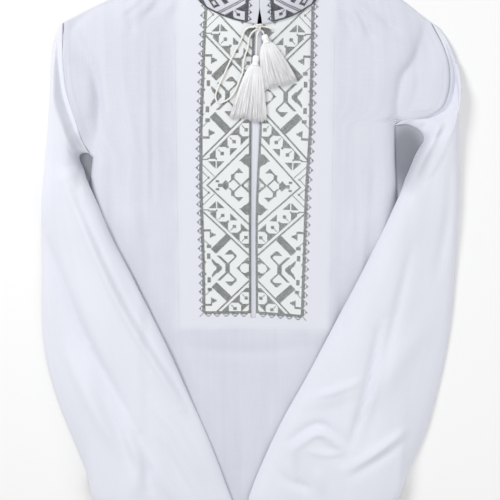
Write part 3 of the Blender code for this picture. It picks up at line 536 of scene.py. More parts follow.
def outside_bib(x, y):
    """0 where the stiff bib keeps the front smooth, 1 well away from it."""
    across = ramp((BACKING_LEFT_X + 4.0 - x) / 16.0) + ramp((x - BACKING_RIGHT_X + 4.0) / 16.0)
    return np.clip(across + ramp((-96.0 - y) / 16.0), 0.0, 1.0)


def creased_front(x, y):
    """Height of the front as it shows, with its small creases and its turned hem."""
    right = np.minimum(front_right(y), np.interp(y, CREASED_RIGHT_Y, CREASED_RIGHT_X))
    inside = np.minimum(x - front_left(y), right - x)
    free = ramp(inside / 26.0) * ramp((shoulder_y(x) - y) / 12.0) * outside_bib(x, y)
    swell = 0.55 * np.sin(x / 27.0 + y / 71.0) * np.sin(y / 39.0 - x / 66.0)
    swell = swell + 0.35 * np.sin(x / 13.0 + 0.6 * np.sin(y / 47.0))
    creases = swell + FRONT_CREASE_GAIN * folds_at(FINE_FRONT_FOLDS, x, y)
    return front_height(x, y) + free * creases + HEM_STEP * ramp((HEM_Y + HEM_TURN - y) / 1.2)


cloth_height = Relief(creased_front)
main_sleeve_folds = Relief(lambda x, y: folds_at(SLEEVE_FOLDS, x, y))
fine_sleeve_folds = Relief(lambda x, y: folds_at(FINE_SLEEVE_FOLDS, x, y))


def cloth_grid(name, columns, rows, place, material, wrapped=False, wall=THIN, holes=None):
    """Cloth from one fine grid: place(s, t) turns shares across and up into points."""
    mesh = bmesh.new()
    bmesh.ops.create_grid(mesh, x_segments=columns, y_segments=rows, size=0.5)
    data = bpy.data.meshes.new(name)
    mesh.to_mesh(data)
    mesh.free()
    flat = np.zeros(len(data.vertices) * 3)
    data.vertices.foreach_get("co", flat)
    shares = flat.reshape(-1, 3)[:, :2] + 0.5
    points = np.asarray(place(shares[:, 0], shares[:, 1])).T * MM
    data.vertices.foreach_set("co", points.ravel())
    corner = np.zeros(len(data.loops), int)
    data.loops.foreach_get("vertex_index", corner)
    layer = data.uv_layers.new(name="cloth")
    across = shares[corner]
    size = cloth_size(points, shares, columns, rows)
    layer.data.foreach_set("uv", (across * size).ravel())
    mesh = bmesh.new()
    mesh.from_mesh(data)
    if holes is not None:
        gone = [face for face in mesh.faces if holes(face.calc_center_median() / MM)]
        bmesh.ops.delete(mesh, geom=gone, context="FACES")
    if wrapped:
        bmesh.ops.remove_doubles(mesh, verts=mesh.verts[:], dist=1e-7)
        bmesh.ops.recalc_face_normals(mesh, faces=mesh.faces[:])
    if not wall:
        bmesh.ops.holes_fill(mesh, edges=[rim for rim in mesh.edges if rim.is_boundary], sides=0)
        bmesh.ops.recalc_face_normals(mesh, faces=mesh.faces[:])
    mesh.to_mesh(data)
    mesh.free()
    data.shade_smooth()
    item = place_piece(name, data, material)
    if wall:
        shell = item.modifiers.new("wall", "SOLIDIFY")
        shell.thickness = wall * MM
        shell.offset = -1.0
        shell.use_even_offset = False
    return item


def cloth_size(points, shares, columns, rows):
    """Real width and length of a grid, for a weave that keeps its scale."""
    order = np.lexsort((np.round(shares[:, 0], 6), np.round(shares[:, 1], 6)))
    grid = points[order].reshape(rows + 1, columns + 1, 3)
    width = np.linalg.norm(np.diff(grid, axis=1), axis=2).sum(axis=1).mean()
    length = np.linalg.norm(np.diff(grid, axis=0), axis=2).sum(axis=0).mean()
    return np.array((width, length))


def place_piece(name, data, material):
    """A mesh as a piece of the scene, at the origin, with one material."""
    data.materials.clear()
    data.materials.append(material)
    item = bpy.data.objects.new(name, data)
    bpy.context.scene.collection.objects.link(item)
    return item


def upper_edge(top, share):
    """Points of a panel's upper edge at shares of the way from its tip to the centre."""
    x = top[0][0] + share * (top[-1][0] - top[0][0])
    order = 1 if top[-1][0] > top[0][0] else -1
    return np.interp(order * x, [order * p[0] for p in top], [p[1] for p in top])


def panel_plan(s, t, left, right, centre_left, centre_right, top_left, top_right):
    """Plan points of a body panel; its rows lift to the shoulder and neck line."""
    y = HEM_Y + t * (SHOULDER_TIP_Y - HEM_Y)
    share = np.where(s < 0.5, s, 1.0 - s) * 2.0
    lifted = ramp((y - LIFT_Y) / (SHOULDER_TIP_Y - LIFT_Y))
    outer = np.where(s < 0.5, left(y), right(y))
    middle = np.where(s < 0.5, centre_left(y), centre_right(y))
    up = np.where(s < 0.5, upper_edge(top_left, share), upper_edge(top_right, share))
    return outer + share * (middle - outer), y + (up - SHOULDER_TIP_Y) * lifted


def make_front(material):
    """The front, with the neck slit cut in its middle column."""
    top_left = SHOULDER_LEFT + FRONT_NECK_LEFT[1:]
    top_right = SHOULDER_RIGHT + FRONT_NECK_RIGHT[1:]

    def place(s, t):
        half = 0.5 * SLIT_COLUMN
        across = np.where(s < 0.5, s / (1.0 - SLIT_COLUMN), 1.0 - (1.0 - s) / (1.0 - SLIT_COLUMN))
        across = np.where(np.abs(s - 0.5) < half + 1e-6, np.where(s < 0.5, 0.4999999, 0.5), across)
        x, y = panel_plan(across, t, front_left, front_right, slit_left, slit_right, top_left, top_right)
        return x, y, cloth_height(x, y)

    def slit(middle):
        return middle.y > SLIT_FOOT_Y and slit_left(middle.y) < middle.x < slit_right(middle.y)

    return cloth_grid("front_cloth", FRONT_COLUMNS, FRONT_ROWS, place, material, holes=slit)


def make_back(material):
    """The back, on the floor, thicker where its side margins are turned under."""
    def centre(y):
        return NECK_CENTRE[0] + 0.0 * y

    def place(s, t):
        x, y = panel_plan(s, t, back_left, back_right, centre, centre,
                          SHOULDER_LEFT + BACK_NECK_LEFT[1:], SHOULDER_RIGHT + BACK_NECK_RIGHT[1:])
        return x, y, CLOTH * (1.0 + SIDE_FOLD_LAYERS * side_layers(x, y, 0.0))

    return cloth_grid("back_cloth", *BACK_GRID, place, material, wall=BACK_WALL)


def sleeve_ground(x, y, side, reach=14.0, start=17.0):
    """Height of what lies under a sleeve; a wide reach gives the cloth's own slow fall off the side."""
    if side < 0:
        border = side_left(np.minimum(y, UNDERARM_Y))
        beyond = x - border
        rows = ramp((136.0 - y) / 26.0)
        back_beyond = x - back_left(np.minimum(y, SHOULDER_TIP_Y))
        clamped = np.maximum(x, border + 2.5 * EDGE_ROUND)
    else:
        border = side_right(np.minimum(y, UNDERARM_RIGHT_Y))
        beyond = border - x
        rows = ramp((128.0 - y) / 36.0)
        back_beyond = back_right(np.minimum(y, SHOULDER_TIP_Y)) - x
        clamped = np.minimum(x, border - 2.5 * EDGE_ROUND)
    on_front = ramp((beyond + start) / reach) * rows
    on_back = ramp((back_beyond + 16.0) / 9.0)
    carried = on_front * (front_height(clamped, np.maximum(y, HEM_Y)) + SLEEVE_CLEARANCE)
    return np.maximum(carried, on_back * (CLOTH + REST_GAP))


def armhole_seam(armhole, side):
    """Plan points of a sleeve's seam, from the shoulder tip down, just under the front's edge."""
    line = through(armhole, 60)[::-1]
    run = unit(np.gradient(line, axis=0))
    return line + np.column_stack([-run[:, 1], run[:, 0]]) * -side * ARMHOLE_LAP


def make_tube(name, table, armhole, side, columns, rows, material):
    """A flattened tube of cloth: over the top from its outer to its inner edge, and back below."""
    fine = through(table, 400)
    stations = np.linspace(0.0, 1.0, len(fine))
    seam = armhole_seam(armhole, side) if armhole else None

    def place(s, t):
        outer_x, outer_y, inner_x, inner_y, bow, height = point_at(t, stations, fine).T
        turn = np.where(s < 0.5, s, 1.0 - s) * 2.0
        share = 0.5 - 0.5 * np.cos(np.pi * turn)
        x = outer_x + (inner_x - outer_x) * share
        y = outer_y + (inner_y - outer_y) * share
        start = np.zeros_like(t)
        if seam is not None:
            at = np.linspace(0.0, 1.0, len(seam))
            chord = seam[0] + (seam[-1] - seam[0]) * share[:, None]
            x += bow * (np.interp(share, at, seam[:, 0]) - chord[:, 0])
            y += bow * (np.interp(share, at, seam[:, 1]) - chord[:, 1])
            start = np.clip(1.0 - t / SEAM_ROW, 0.0, 1.0)
        ground = sleeve_ground(x, y, side)
        eased = sleeve_ground(x, y, side, *SLEEVE_EASE)
        arch = (1.0 - np.abs(2.0 * share - 1.0) ** ARCH_POWERS[0]) ** ARCH_POWERS[1]
        away = ramp((share * (1.0 - share)) / 0.06) * ramp((y + 398.0) / 30.0)
        if seam is not None:
            away = away * ramp(t / 0.08)
        swell = SLEEVE_SWELL * np.sin(x / 21.0 + y / 55.0) * np.sin(y / 33.0 - x / 48.0)
        creases = (SLEEVE_CREASE_GAIN * fine_sleeve_folds(x, y) + swell) * away
        lowest = SLEEVE_FLOOR * arch
        level = np.maximum((height + main_sleeve_folds(x, y)) * arch + creases, lowest)
        level += start * (np.maximum(front_height(x, y) - ground - SEAM_TUCK, 3.0) - level)
        upper = s < 0.5
        settle = arch * ramp(t / 0.12) if seam is not None else 0.0
        over = ground + settle * (eased - ground)
        z = np.where(upper, np.maximum(over + level, ground + np.maximum(lowest, REST_GAP)), ground)
        tip = np.isclose(share, 0.0) | np.isclose(share, 1.0)
        return x, y, np.where(tip, ground + RIM_HEIGHT, z)

    return cloth_grid(name, columns, rows, place, material, wrapped=True), place


def collar_lines(count):
    """Seam and upper edge of the collar band, from its right front end round the back."""
    seam = []
    crest = []
    for values in COLLAR:
        row = dict(zip(COLLAR_COLUMNS, values))
        x, y = np.array([row["seam_x"]]), np.array([row["seam_y"]])
        on_front = front_height(x, y)[0] + COLLAR_SEAM_GAP + COLLAR_WALL
        on_back = CLOTH + COLLAR_SEAM_GAP + COLLAR_WALL
        seam.append((row["seam_x"], row["seam_y"], on_front + (on_back - on_front) * row["back"]))
        crest.append((row["top_x"], row["top_y"], row["top_z"]))
    return through(seam, count), through(crest, count)


def neck_seam_y(x):
    """Height in y of the collar's seam over the front."""
    front_rows = [row for row in COLLAR if row[5] == 0.0]
    order = sorted((row[0], row[1]) for row in front_rows)
    return np.interp(x, [p[0] for p in order], [p[1] for p in order])


def make_collar(material):
    """The stand collar, whose front ends lean together above the neck's wedge."""
    seam, crest = collar_lines(400)
    at = np.linspace(0.0, 1.0, 400)

    def place(s, t):
        low = point_at(s, at, seam).T
        high = point_at(s, at, crest).T
        rise = t * (1.0 + COLLAR_LAP) - COLLAR_LAP
        points = low + (high - low) * rise
        points[2] += COLLAR_BULGE * np.sin(np.pi * rise)
        closed = 2.75 * ramp(rise / 0.55) - 2.4 * rise
        points[0] += np.where(s < 0.5, -closed, closed) * ramp(1.0 - np.minimum(s, 1.0 - s) / 0.05)
        return points

    return cloth_grid("collar_band", *COLLAR_GRID, place, material, wall=COLLAR_SHELL)


class Wire:
    """An output of a shader node: sums on it add Math nodes."""

    def __init__(self, look, socket):
        self.look = look
        self.socket = socket

    def sum(self, operation, first, second=None):
        values = {0: first} if second is None else {0: first, 1: second}
        return self.look.node("ShaderNodeMath", {"operation": operation}, values)

    def __add__(self, other):
        return self.sum("ADD", self, other)

    def __radd__(self, other):
        return self.sum("ADD", other, self)

    def __sub__(self, other):
        return self.sum("SUBTRACT", self, other)

    def __rsub__(self, other):
        return self.sum("SUBTRACT", other, self)

    def __mul__(self, other):
        return self.sum("MULTIPLY", self, other)

    def __rmul__(self, other):
        return self.sum("MULTIPLY", other, self)

    def __truediv__(self, other):
        return self.sum("DIVIDE", self, other)

    def sine(self):
        return self.sum("SINE", self)

    def between(self, low, high):
        """A soft step from 0 at low to 1 at high."""
        settings = {"interpolation_type": "SMOOTHSTEP", "clamp": True}
        values = {"Value": self, "From Min": low, "From Max": high, "To Min": 0.0, "To Max": 1.0}
        return self.look.node("ShaderNodeMapRange", settings, values)


class Look:
    """One procedural material of the shirt."""

    def __init__(self, name, roughness, sheen=0.0):
        self.material = bpy.data.materials.new(name)
        self.material.use_nodes = True
        self.tree = self.material.node_tree
        self.shader = self.tree.nodes["Principled BSDF"]
        self.shader.inputs["Roughness"].default_value = roughness
        self.shader.inputs["Sheen Weight"].default_value = sheen
        self.shader.inputs["Sheen Roughness"].default_value = 0.4
        self.shader.inputs["Specular IOR Level"].default_value = 0.25

    def node(self, kind, settings, values, output=0):
        made = self.tree.nodes.new(kind)
        for key, value in settings.items():
            setattr(made, key, value)
        for key, value in values.items():
            self.join(value, made.inputs[key])
        return Wire(self, made.outputs[output])

    def join(self, value, socket):
        if isinstance(value, Wire):
            self.tree.links.new(value.socket, socket)
        else:
            socket.default_value = value

    def place(self):
        """Object coordinates as three wires, in millimetres."""
        point = self.node("ShaderNodeTexCoord", {}, {}, "Object")
        return self.split(self.node("ShaderNodeVectorMath", {"operation": "SCALE"},
                                    {0: point, "Scale": 1.0 / MM}))

    def weave_place(self):
        """The cloth's own coordinates, across and along its threads, in millimetres."""
        uv = self.node("ShaderNodeUVMap", {"uv_map": "cloth"}, {})
        return self.split(self.node("ShaderNodeVectorMath", {"operation": "SCALE"},
                                    {0: uv, "Scale": 1.0 / MM}))

    def split(self, vector):
        made = self.tree.nodes.new("ShaderNodeSeparateXYZ")
        self.tree.links.new(vector.socket, made.inputs[0])
        return [Wire(self, output) for output in made.outputs]

    def noise(self, x, y, scale_x, scale_y, detail=2.0):
        """Soft noise, stretched by a size in millimetres for each direction."""
        where = self.node("ShaderNodeCombineXYZ", {}, {"X": x / scale_x, "Y": y / scale_y})
        return self.node("ShaderNodeTexNoise", {}, {"Vector": where, "Scale": 1.0, "Detail": detail}, "Fac")

    def blend(self, share, first, second):
        """A colour between two others."""
        made = self.tree.nodes.new("ShaderNodeMix")
        made.data_type = "RGBA"
        self.join(share, made.inputs["Factor"])
        self.join(first, made.inputs[6])
        self.join(second, made.inputs[7])
        return Wire(self, made.outputs[2])

    def spot(self, x, y, middle, reach):
        """1 at the middle of a soft oval, 0 outside it."""
        across = (x - middle[0]) / reach[0]
        up = (y - middle[1]) / reach[1]
        return 1.0 - (across * across + up * up).between(0.1, 1.0)

    def bump(self, height, strength, distance):
        normal = self.node("ShaderNodeBump", {}, {"Height": height, "Strength": strength,
                                                  "Distance": distance * MM})
        self.join(normal, self.shader.inputs["Normal"])

    def colour(self, value):
        self.join(value, self.shader.inputs["Base Color"])


def rgb(*values):
    """A colour with full cover."""
    return (*values, 1.0)


def plain_weave(look, across, up, pitch):
    """Height of a plain weave: each thread goes over one and under the next."""
    turn = math.pi / pitch
    thick = look.noise(across, up, 1.1, 46.0) + look.noise(across, up, 46.0, 1.1)
    return (across * turn).sine() * (up * turn).sine() * 0.5 + thick * 0.9


def cotton(name, colour, shade, bib=False, pit_shade=0.0):
    """Plain-woven shirt cotton with uneven threads and a soft sheen, with painted shade deep in the
    armpits.

    On the front it also carries the brighter field over the bib's backing, painted shade towards its lower
    rows and a painted shadow by the sleeves.
    """
    look = Look(name, 0.82, 0.12)
    across, up, _ = look.weave_place()
    streak = look.noise(across, up, 9.0, 260.0)
    cloud = look.noise(across, up, 70.0, 90.0)
    fine = look.noise(across, up, 0.8, 30.0) + look.noise(across, up, 30.0, 0.8)
    mottle = streak * 0.4 + cloud * 0.4 + fine * 0.3
    tone = look.blend(mottle.between(0.35, 0.95), rgb(*shade), rgb(*colour))
    x, y, z = look.place()
    if pit_shade:
        # Painted shade: the cloth darkens towards the middle of each armpit.
        pit_shade_mask = look.spot(x, y, *PIT_SHADE_LEFT) + look.spot(x, y, *PIT_SHADE_RIGHT)
        pit_shade_mask = (pit_shade_mask * pit_shade) * z.between(0.7, 1.1)
        tone = look.blend(pit_shade_mask, tone, rgb(*PIT_SHADE_COLOUR))
    if bib:
        # Painted shade: the front darkens towards its lower rows, between the sleeves.
        lower = (1.0 - y.between(*LOWER_SHADE_ROWS)) * LOWER_SHADE_SHARE
        tone = look.blend(lower, tone, rgb(*shade))
        # Painted shadow on the front along each sleeve's inner edge.
        beside_left = 1.0 - (x + (y * LEE_LEFT[0] + LEE_LEFT[1])).between(0.0, LEE_WIDTH)
        beside_right = (x - (y * LEE_RIGHT[0] + LEE_RIGHT[1])).between(-LEE_WIDTH, 0.0)
        beside = (beside_left + beside_right) * (1.0 - y.between(*LEE_ROWS))
        tone = look.blend(beside * LEE_SHARE, tone, rgb(*LEE_SHADOW_COLOUR))
        wander = (look.noise(x, y, 40.0, 40.0) - 0.5) * 14.0
        inside = (x + wander).between(BACKING_LEFT_X - 6.0, BACKING_LEFT_X + 8.0)
        inside = inside * (1.0 - (x + wander).between(BACKING_RIGHT_X - 8.0, BACKING_RIGHT_X + 6.0))
        inside = inside * (y + wander).between(BACKING_ROWS[0] - 6.0, BACKING_ROWS[0] + 8.0)
        tone = look.blend(inside, tone, rgb(*BIB_COLOUR))
        worked = x.between(-61.0, -57.0) * (1.0 - x.between(74.0, 79.0)) * y.between(-79.0, -74.0)
        tone = look.blend(worked, tone, rgb(*WORKED_COLOUR))
    look.colour(tone)
    look.bump(plain_weave(look, across, up, 0.55), 0.35, 0.12)
    return look.material


def thread(name, colour, shade, roughness, pitch):
    """Spun thread: painted shade between its plies and random tone along it, with a slight lustre."""
    look = Look(name, roughness, 0.25)
    x, y, z = look.place()
    ply = ((x + y + z * 1.7) * (2.0 * math.pi / pitch)).sine()
    fray = look.noise(x, y, 1.3, 1.7, 3.0)
    # Painted shade in the grooves between the plies, mixed with random tone.
    look.colour(look.blend((ply * 0.25 + fray).between(0.1, 0.8), rgb(*shade), rgb(*colour)))
    look.bump(ply * 0.5 + fray, 0.5, 0.1)
    return look.material


def paper_floor():
    """Matt white paper under the shirt."""
    look = Look("floor_white", 0.9)
    x, y, _ = look.place()
    look.colour(look.blend(look.noise(x, y, 400.0, 400.0), rgb(0.93, 0.93, 0.93), rgb(0.95, 0.95, 0.95)))
    return look.material


# Colours are linear; a shade is the darker end of a mottled finish, and also the tone of painted shade: low
# on the front and between a thread's plies. Places are x, y in millimetres:
# the middle and reach of each armpit's painted shade, and for the painted shadow in the lee of a sleeve its
# lean and its offset.
BODY_COLOUR = (0.72, 0.74, 0.81)
BODY_SHADE = (0.64, 0.66, 0.74)
# Painted light: the sleeves' cotton is a lighter copy of the body's cotton.
SLEEVE_LIT_COLOUR = (0.79, 0.805, 0.885)
SLEEVE_LIT_SHADE = (0.755, 0.77, 0.85)
# Painted shade deep in the armpits, on the back and the sleeves.
PIT_SHADE_COLOUR = (0.22, 0.225, 0.26)
# Tone of the painted shadow beside the sleeves.
LEE_SHADOW_COLOUR = (0.57, 0.585, 0.66)
PIT_SHADE_LEFT = (-215.0, 134.0), (23.0, 42.0)
PIT_SHADE_RIGHT = (206.0, 138.0), (34.0, 58.0)
# Rows and strength of the painted shade low on the front.
LOWER_SHADE_ROWS = (-60.0, 120.0)
LOWER_SHADE_SHARE = 0.15
LEE_LEFT = (0.42, 163.0)
LEE_RIGHT = (0.44, 157.0)
LEE_WIDTH = 30.0
LEE_ROWS = (40.0, 110.0)
LEE_SHARE = 0.35
BIB_COLOUR = (0.755, 0.765, 0.84)
WORKED_COLOUR = (0.81, 0.835, 0.84)
COLLAR_COLOUR = (0.725, 0.73, 0.79)
STITCH_COLOUR = (0.135, 0.145, 0.135)
STITCH_SHADE = (0.085, 0.09, 0.085)
COLLAR_STITCH_COLOUR = (0.07, 0.075, 0.095)
COLLAR_STITCH_SHADE = (0.035, 0.038, 0.05)
CORD_COLOUR = (0.95, 0.95, 0.91)
CORD_SHADE = (0.86, 0.86, 0.81)
TASSEL_COLOUR = (0.98, 0.98, 0.99)
TASSEL_SHADE = (0.95, 0.95, 0.97)
# Painted shade: a near-black sheet stands for the dark inside of the neck.
NECK_SHADE_COLOUR = (0.012, 0.012, 0.016)
NECK_SHADE_DARKEST = (0.006, 0.006, 0.009)


def line_of(where, *levels):
    """Cells on any of the given diagonals."""
    return np.isin(where, levels)


def quarter_chart():
    """A quarter of the bib's repeat: which cells are stitched, by column and row."""
    u, v = np.mgrid[0:41, 0:HALF_REPEAT + 1]
    w = HALF_REPEAT - v
    rise = u + v
    fall = u - v
    chart = (u <= 1) | line_of(rise, 36, 37) & (v <= 36) | line_of(rise, 64, 65) & (u > 1)
    chart |= (fall == 23) & (u >= 30) | (fall == 29) & (u >= 35) | (rise == 42) & (u >= 35)
    chart |= (v == 22) & (u >= 36) | (v == 23) & (u >= 34) & (u <= 36)

    # Band of flowers: each keeps a white ring, and the cloth between the rings is filled.
    ring = np.zeros(u.shape, bool)
    flower = np.zeros(u.shape, bool)
    for middle_u, middle_v in ((24, 27), (14, 37), (4, 47), (-6, 57)):
        off_u = abs(u - middle_u)
        off_v = abs(v - middle_v)
        ring |= (off_u <= 5) & (off_v <= 5) & (off_u + off_v <= 8)
        flower |= (off_u <= 1) & (off_v <= 1)
        flower |= (u - middle_u == v - middle_v) & (u > middle_u) & (u <= middle_u + 3)
    inner_fill = (rise >= 43) & (rise <= 50) & (u <= 17)
    outer_fill = (rise >= 51) & (rise <= 60) & (u <= 34)
    outer_fill &= (v >= 23) | (u < 30)
    chart |= (inner_fill | outer_fill) & ~ring & (v <= 56)
    chart |= flower & (v <= 50)
    chart |= (v <= 20) & (u >= 23) & (u <= 28) & (28 - u + 20 - v <= 5)
    chart |= (v <= 20) & (u >= 30) & (u <= 35) & (u - 30 + 20 - v <= 5)

    waist = (v >= 15) & (v <= 21) & (u <= (v - 14) * 1.3)
    waist |= (v >= 22) & (v <= 26) & (u <= 30 - v)
    diamond = (rise >= 6) & (rise <= 8) | (rise < 6) & (rise % 2 == 0)
    diamond &= ~((abs(u - 4) <= 1) & (v <= 1))
    horn = line_of(fall, 8, 9) & (v <= 5) | line_of(rise, 20, 21) & (v >= 3) & (v <= 6) & (u >= 14)
    horn |= (u >= 14) & (u <= 16) & (v >= 6) & (v <= 9) | line_of(rise, 23, 24) & (v >= 9) & (v <= 11)
    horn |= (v >= 11) & (v <= 14) & (abs(u - 10) <= 14 - v)
    arrow = (abs(u - 21) + v <= 4) & (abs(u - 21) <= 2)
    arrow |= (v <= 1) & (u >= 24) & (u <= 27) | (abs(u - 28) <= 1) & (v >= 3) & (v <= 4)
    chart |= waist | diamond | horn | arrow

    rise = u + w
    fall = u - w
    slit_ring = (rise <= 12) & (w <= 9) & ~((u - 5) ** 2 + w ** 2 <= 18) & ~((u <= 2) & (u > 0) & (w == 8))
    bar = (rise >= 44) & (rise <= 52) & (fall >= -9) & (fall <= 17)
    prong = (fall >= 16) & (fall <= 18) & (w >= 4) & (w <= 11) | (u >= 19) & (u <= 22) & (w <= 4)
    curl = line_of(rise, 23, 24) & (w >= 4) & (w <= 10) | (u >= 13) & (u <= 14) & (w >= 10) & (w <= 12)
    curl |= line_of(fall, 2, 3) & (w >= 11) & (w <= 14)
    curl |= (w >= 13) & (w <= 16) & (abs(u - 18) <= 17 - w)
    heart = (u >= 26) & (u <= 34) & (w <= 1.5 + (u - 26) * 0.85) & (w >= (u - 30) * 1.3)
    block = (u >= 36) & (u <= 38) & (w >= 9) & (w <= 13)
    hook = (fall == 15) & (u >= 37) | (u >= 35) & (u <= 38) & (w >= 19) & (w <= 21)
    hook |= (w >= 34) & (w <= 35) & (u >= 35) | (u >= 31) & (u <= 35) & (abs(w - 30.5) <= (u - 30) * 0.6)
    edge_marks = (u == 40) & line_of(w, 5, 6, 15)
    return chart | slit_ring | bar | prong | curl | heart | block | hook | edge_marks


# A picot outside the border line, hollow in its middle: rows along the border, columns outwards.
PICOT = ["#...",
         "##..",
         "#.#.",
         "#.##",
         "#.#.",
         "##..",
         "#..."]


def picot_cells(pitch, count):
    """Cells of a row of picots: along the border, and outwards from it."""
    cells = []
    for k in range(count):
        for row, marks in enumerate(PICOT):
            cells += [(k * pitch + row, out) for out, mark in enumerate(marks) if mark == "#"]
    return cells


def bib_cells():
    """Stitched cells of one half of the bib, as column and row."""
    chart = quarter_chart()
    cells = []
    for row in range(BIB_FOOT_ROW, BIB_TOP_ROW):
        turn = (row + HALF_REPEAT) % (2 * HALF_REPEAT) - HALF_REPEAT
        cells += [(column, row) for column in range(41) if chart[column, abs(turn)]]
    rows = range(BIB_FOOT_ROW - 2, BIB_TOP_ROW)
    cells += [(column, row) for row in rows for column in (41, 42)]
    cells += [(column, row) for column in range(41) for row in (BIB_FOOT_ROW - 2, BIB_FOOT_ROW - 1)]
    cells += [(43 + out, BIB_FOOT_ROW - 1 + along) for along, out in picot_cells(PICOT_PITCH, 34)]
    cells += [(41 - along, BIB_FOOT_ROW - 3 - out) for along, out in picot_cells(PICOT_PITCH, 5)]
    cells += [(43 + k, BIB_FOOT_ROW - 3 - k) for k in range(4)]
    return sorted(set(cells))


def collar_cells(length):
    """Stitched cells of one side of the collar, counted from its front end and its seam."""
    columns = int(length / COLLAR_STITCH_WIDE)
    s, t = np.mgrid[0:COLLAR_REPEAT + 1, 0:COLLAR_ROWS + 1]
    rise = s + t
    chart = (t <= 1) | line_of(rise, 25, 27)
    off_s = abs(s - 7)
    off_t = abs(t - 6)
    flower_ring = (off_s <= 4) & (off_t <= 4) & (off_s + off_t <= 7)
    chart |= (rise <= 20) & ~flower_ring & (t >= 2) & ((s >= 11) | (t >= 11))
    chart |= (off_s <= 1) & (off_t <= 1) | (s - 7 == t - 6) & (s >= 7) & (s <= 10)
    chart |= (rise >= 32) & (rise <= 42) & (abs(s - t - 3) <= 3)
    ring = abs(s - 29) + abs(t - 9)
    chart |= (ring <= 5) & (ring >= 3) | line_of(rise, 44, 45) & (t >= 14)
    chart |= (t <= 9 - abs(s - 44)) | (abs(s - 40) + abs(t - 20) <= 4)
    chart |= (t >= COLLAR_ROWS - 1)
    cells = []
    for column in range(columns):
        turn = column % (2 * COLLAR_REPEAT)
        turn = 2 * COLLAR_REPEAT - turn if turn > COLLAR_REPEAT else turn
        cells += [(column, row) for row in range(COLLAR_ROWS + 1) if chart[turn, row]]
    cells += [(column, row) for column in (0, 1) for row in range(COLLAR_ROWS + 1)]
    cells += [(-1 - out, 1 + along) for along, out in picot_cells(7, 4)]
    return sorted(set(cells))


def as_template(mesh):
    """Points and three-sided faces of a small shape that repeat_shape lays many times."""
    bmesh.ops.triangulate(mesh, faces=mesh.faces[:])
    mesh.verts.index_update()
    points = np.array([vert.co for vert in mesh.verts])
    faces = np.array([[vert.index for vert in face.verts] for face in mesh.faces])
    mesh.free()
    return points, faces


def stitch_template(wide, high):
    """One cross-stitch: two three-sided threads across a cell, the second over the first."""
    mesh = bmesh.new()
    for k, lean in enumerate(STITCH_LEAN):
        made = bmesh.ops.create_cone(mesh, cap_ends=True, cap_tris=True, segments=3,
                                     radius1=STITCH_RADIUS, radius2=STITCH_RADIUS, depth=0.74)
        tips = [vert for vert in made["verts"] if math.hypot(vert.co.x, vert.co.y) < 0.01]
        for tip in tips:
            tip.co.z *= 1.9
        run = Vector((wide * lean, high, 0.0))
        turn = Vector((0, 0, 1)).rotation_difference(run.normalized()).to_matrix()
        for vert in made["verts"]:
            vert.co = turn @ Vector((vert.co.x, vert.co.y, vert.co.z * run.length * 0.78))
            vert.co.z = vert.co.z * 0.75 + 0.12 + 0.16 * k
            if abs(vert.co.x) + abs(vert.co.y) > 0.62 * run.length:
                vert.co.z -= 0.3
    return as_template(mesh)


def repeat_shape(name, template, count, lay, material):
    """One joined mesh of a small shape, laid count times: lay(x, y, z) gets a row for each copy."""
    points, faces = template
    placed = lay(*(np.broadcast_to(points[None, :, k], (count, len(points))) for k in range(3)))
    placed = np.column_stack([axis.ravel() for axis in placed]) * MM
    corners = (faces[None] + np.arange(count)[:, None, None] * len(points)).reshape(-1, 3)
    data = bpy.data.meshes.new(name)
    data.from_pydata(placed, [], corners)
    data.shade_smooth()
    return place_piece(name, data, material)


def stitch_piece(name, cells, wide, high, lay, material):
    """A cross-stitch in every cell, each a little off its place, as by hand."""
    cells = np.array(cells, float)
    rng = np.random.default_rng(7)
    column = cells[:, :1] + 0.5 + rng.normal(0.0, STITCH_WANDER, (len(cells), 1))
    row = cells[:, 1:] + 0.5 + rng.normal(0.0, STITCH_WANDER, (len(cells), 1))
    grow = 1.0 + rng.normal(0.0, STITCH_UNEVEN, (len(cells), 1))

    def lay_all(x, y, z):
        return lay(column + x * grow / wide, row + y * grow / high, z)

    return repeat_shape(name, stitch_template(wide, high), len(cells), lay_all, material)


def lay_on_bib(side):
    """Turns columns and rows of the bib's chart into points on the front."""
    def lay(column, row, lift):
        level = table_at(ROW_LEVELS, row)
        share = column / BORDER_COLUMN
        if side < 0:
            start = slit_left(level)
            x = start + share * (table_at(BORDER_LEFT, level) - start)
            y = level
        else:
            start = slit_right(level)
            x = start + share * (table_at(BORDER_RIGHT, level) - start)
            y = level - table_at(RIGHT_HALF_DROP, level) * (x - start)
        return x, y, cloth_height(x, y) + lift

    return lay


def bib_stitches(name, side, material):
    """The cross-stitch on one side of the slit, up to the collar's seam."""
    lay = lay_on_bib(side)
    cells = []
    for column, row in bib_cells():
        x, y, _ = lay(np.array([column + 0.5]), np.array([row + 0.5]), 0.0)
        if y[0] < neck_seam_y(x[0]) - 1.2:
            cells.append((column, row))
    return stitch_piece(name, cells, STITCH_WIDE, STITCH_HIGH, lay, material)


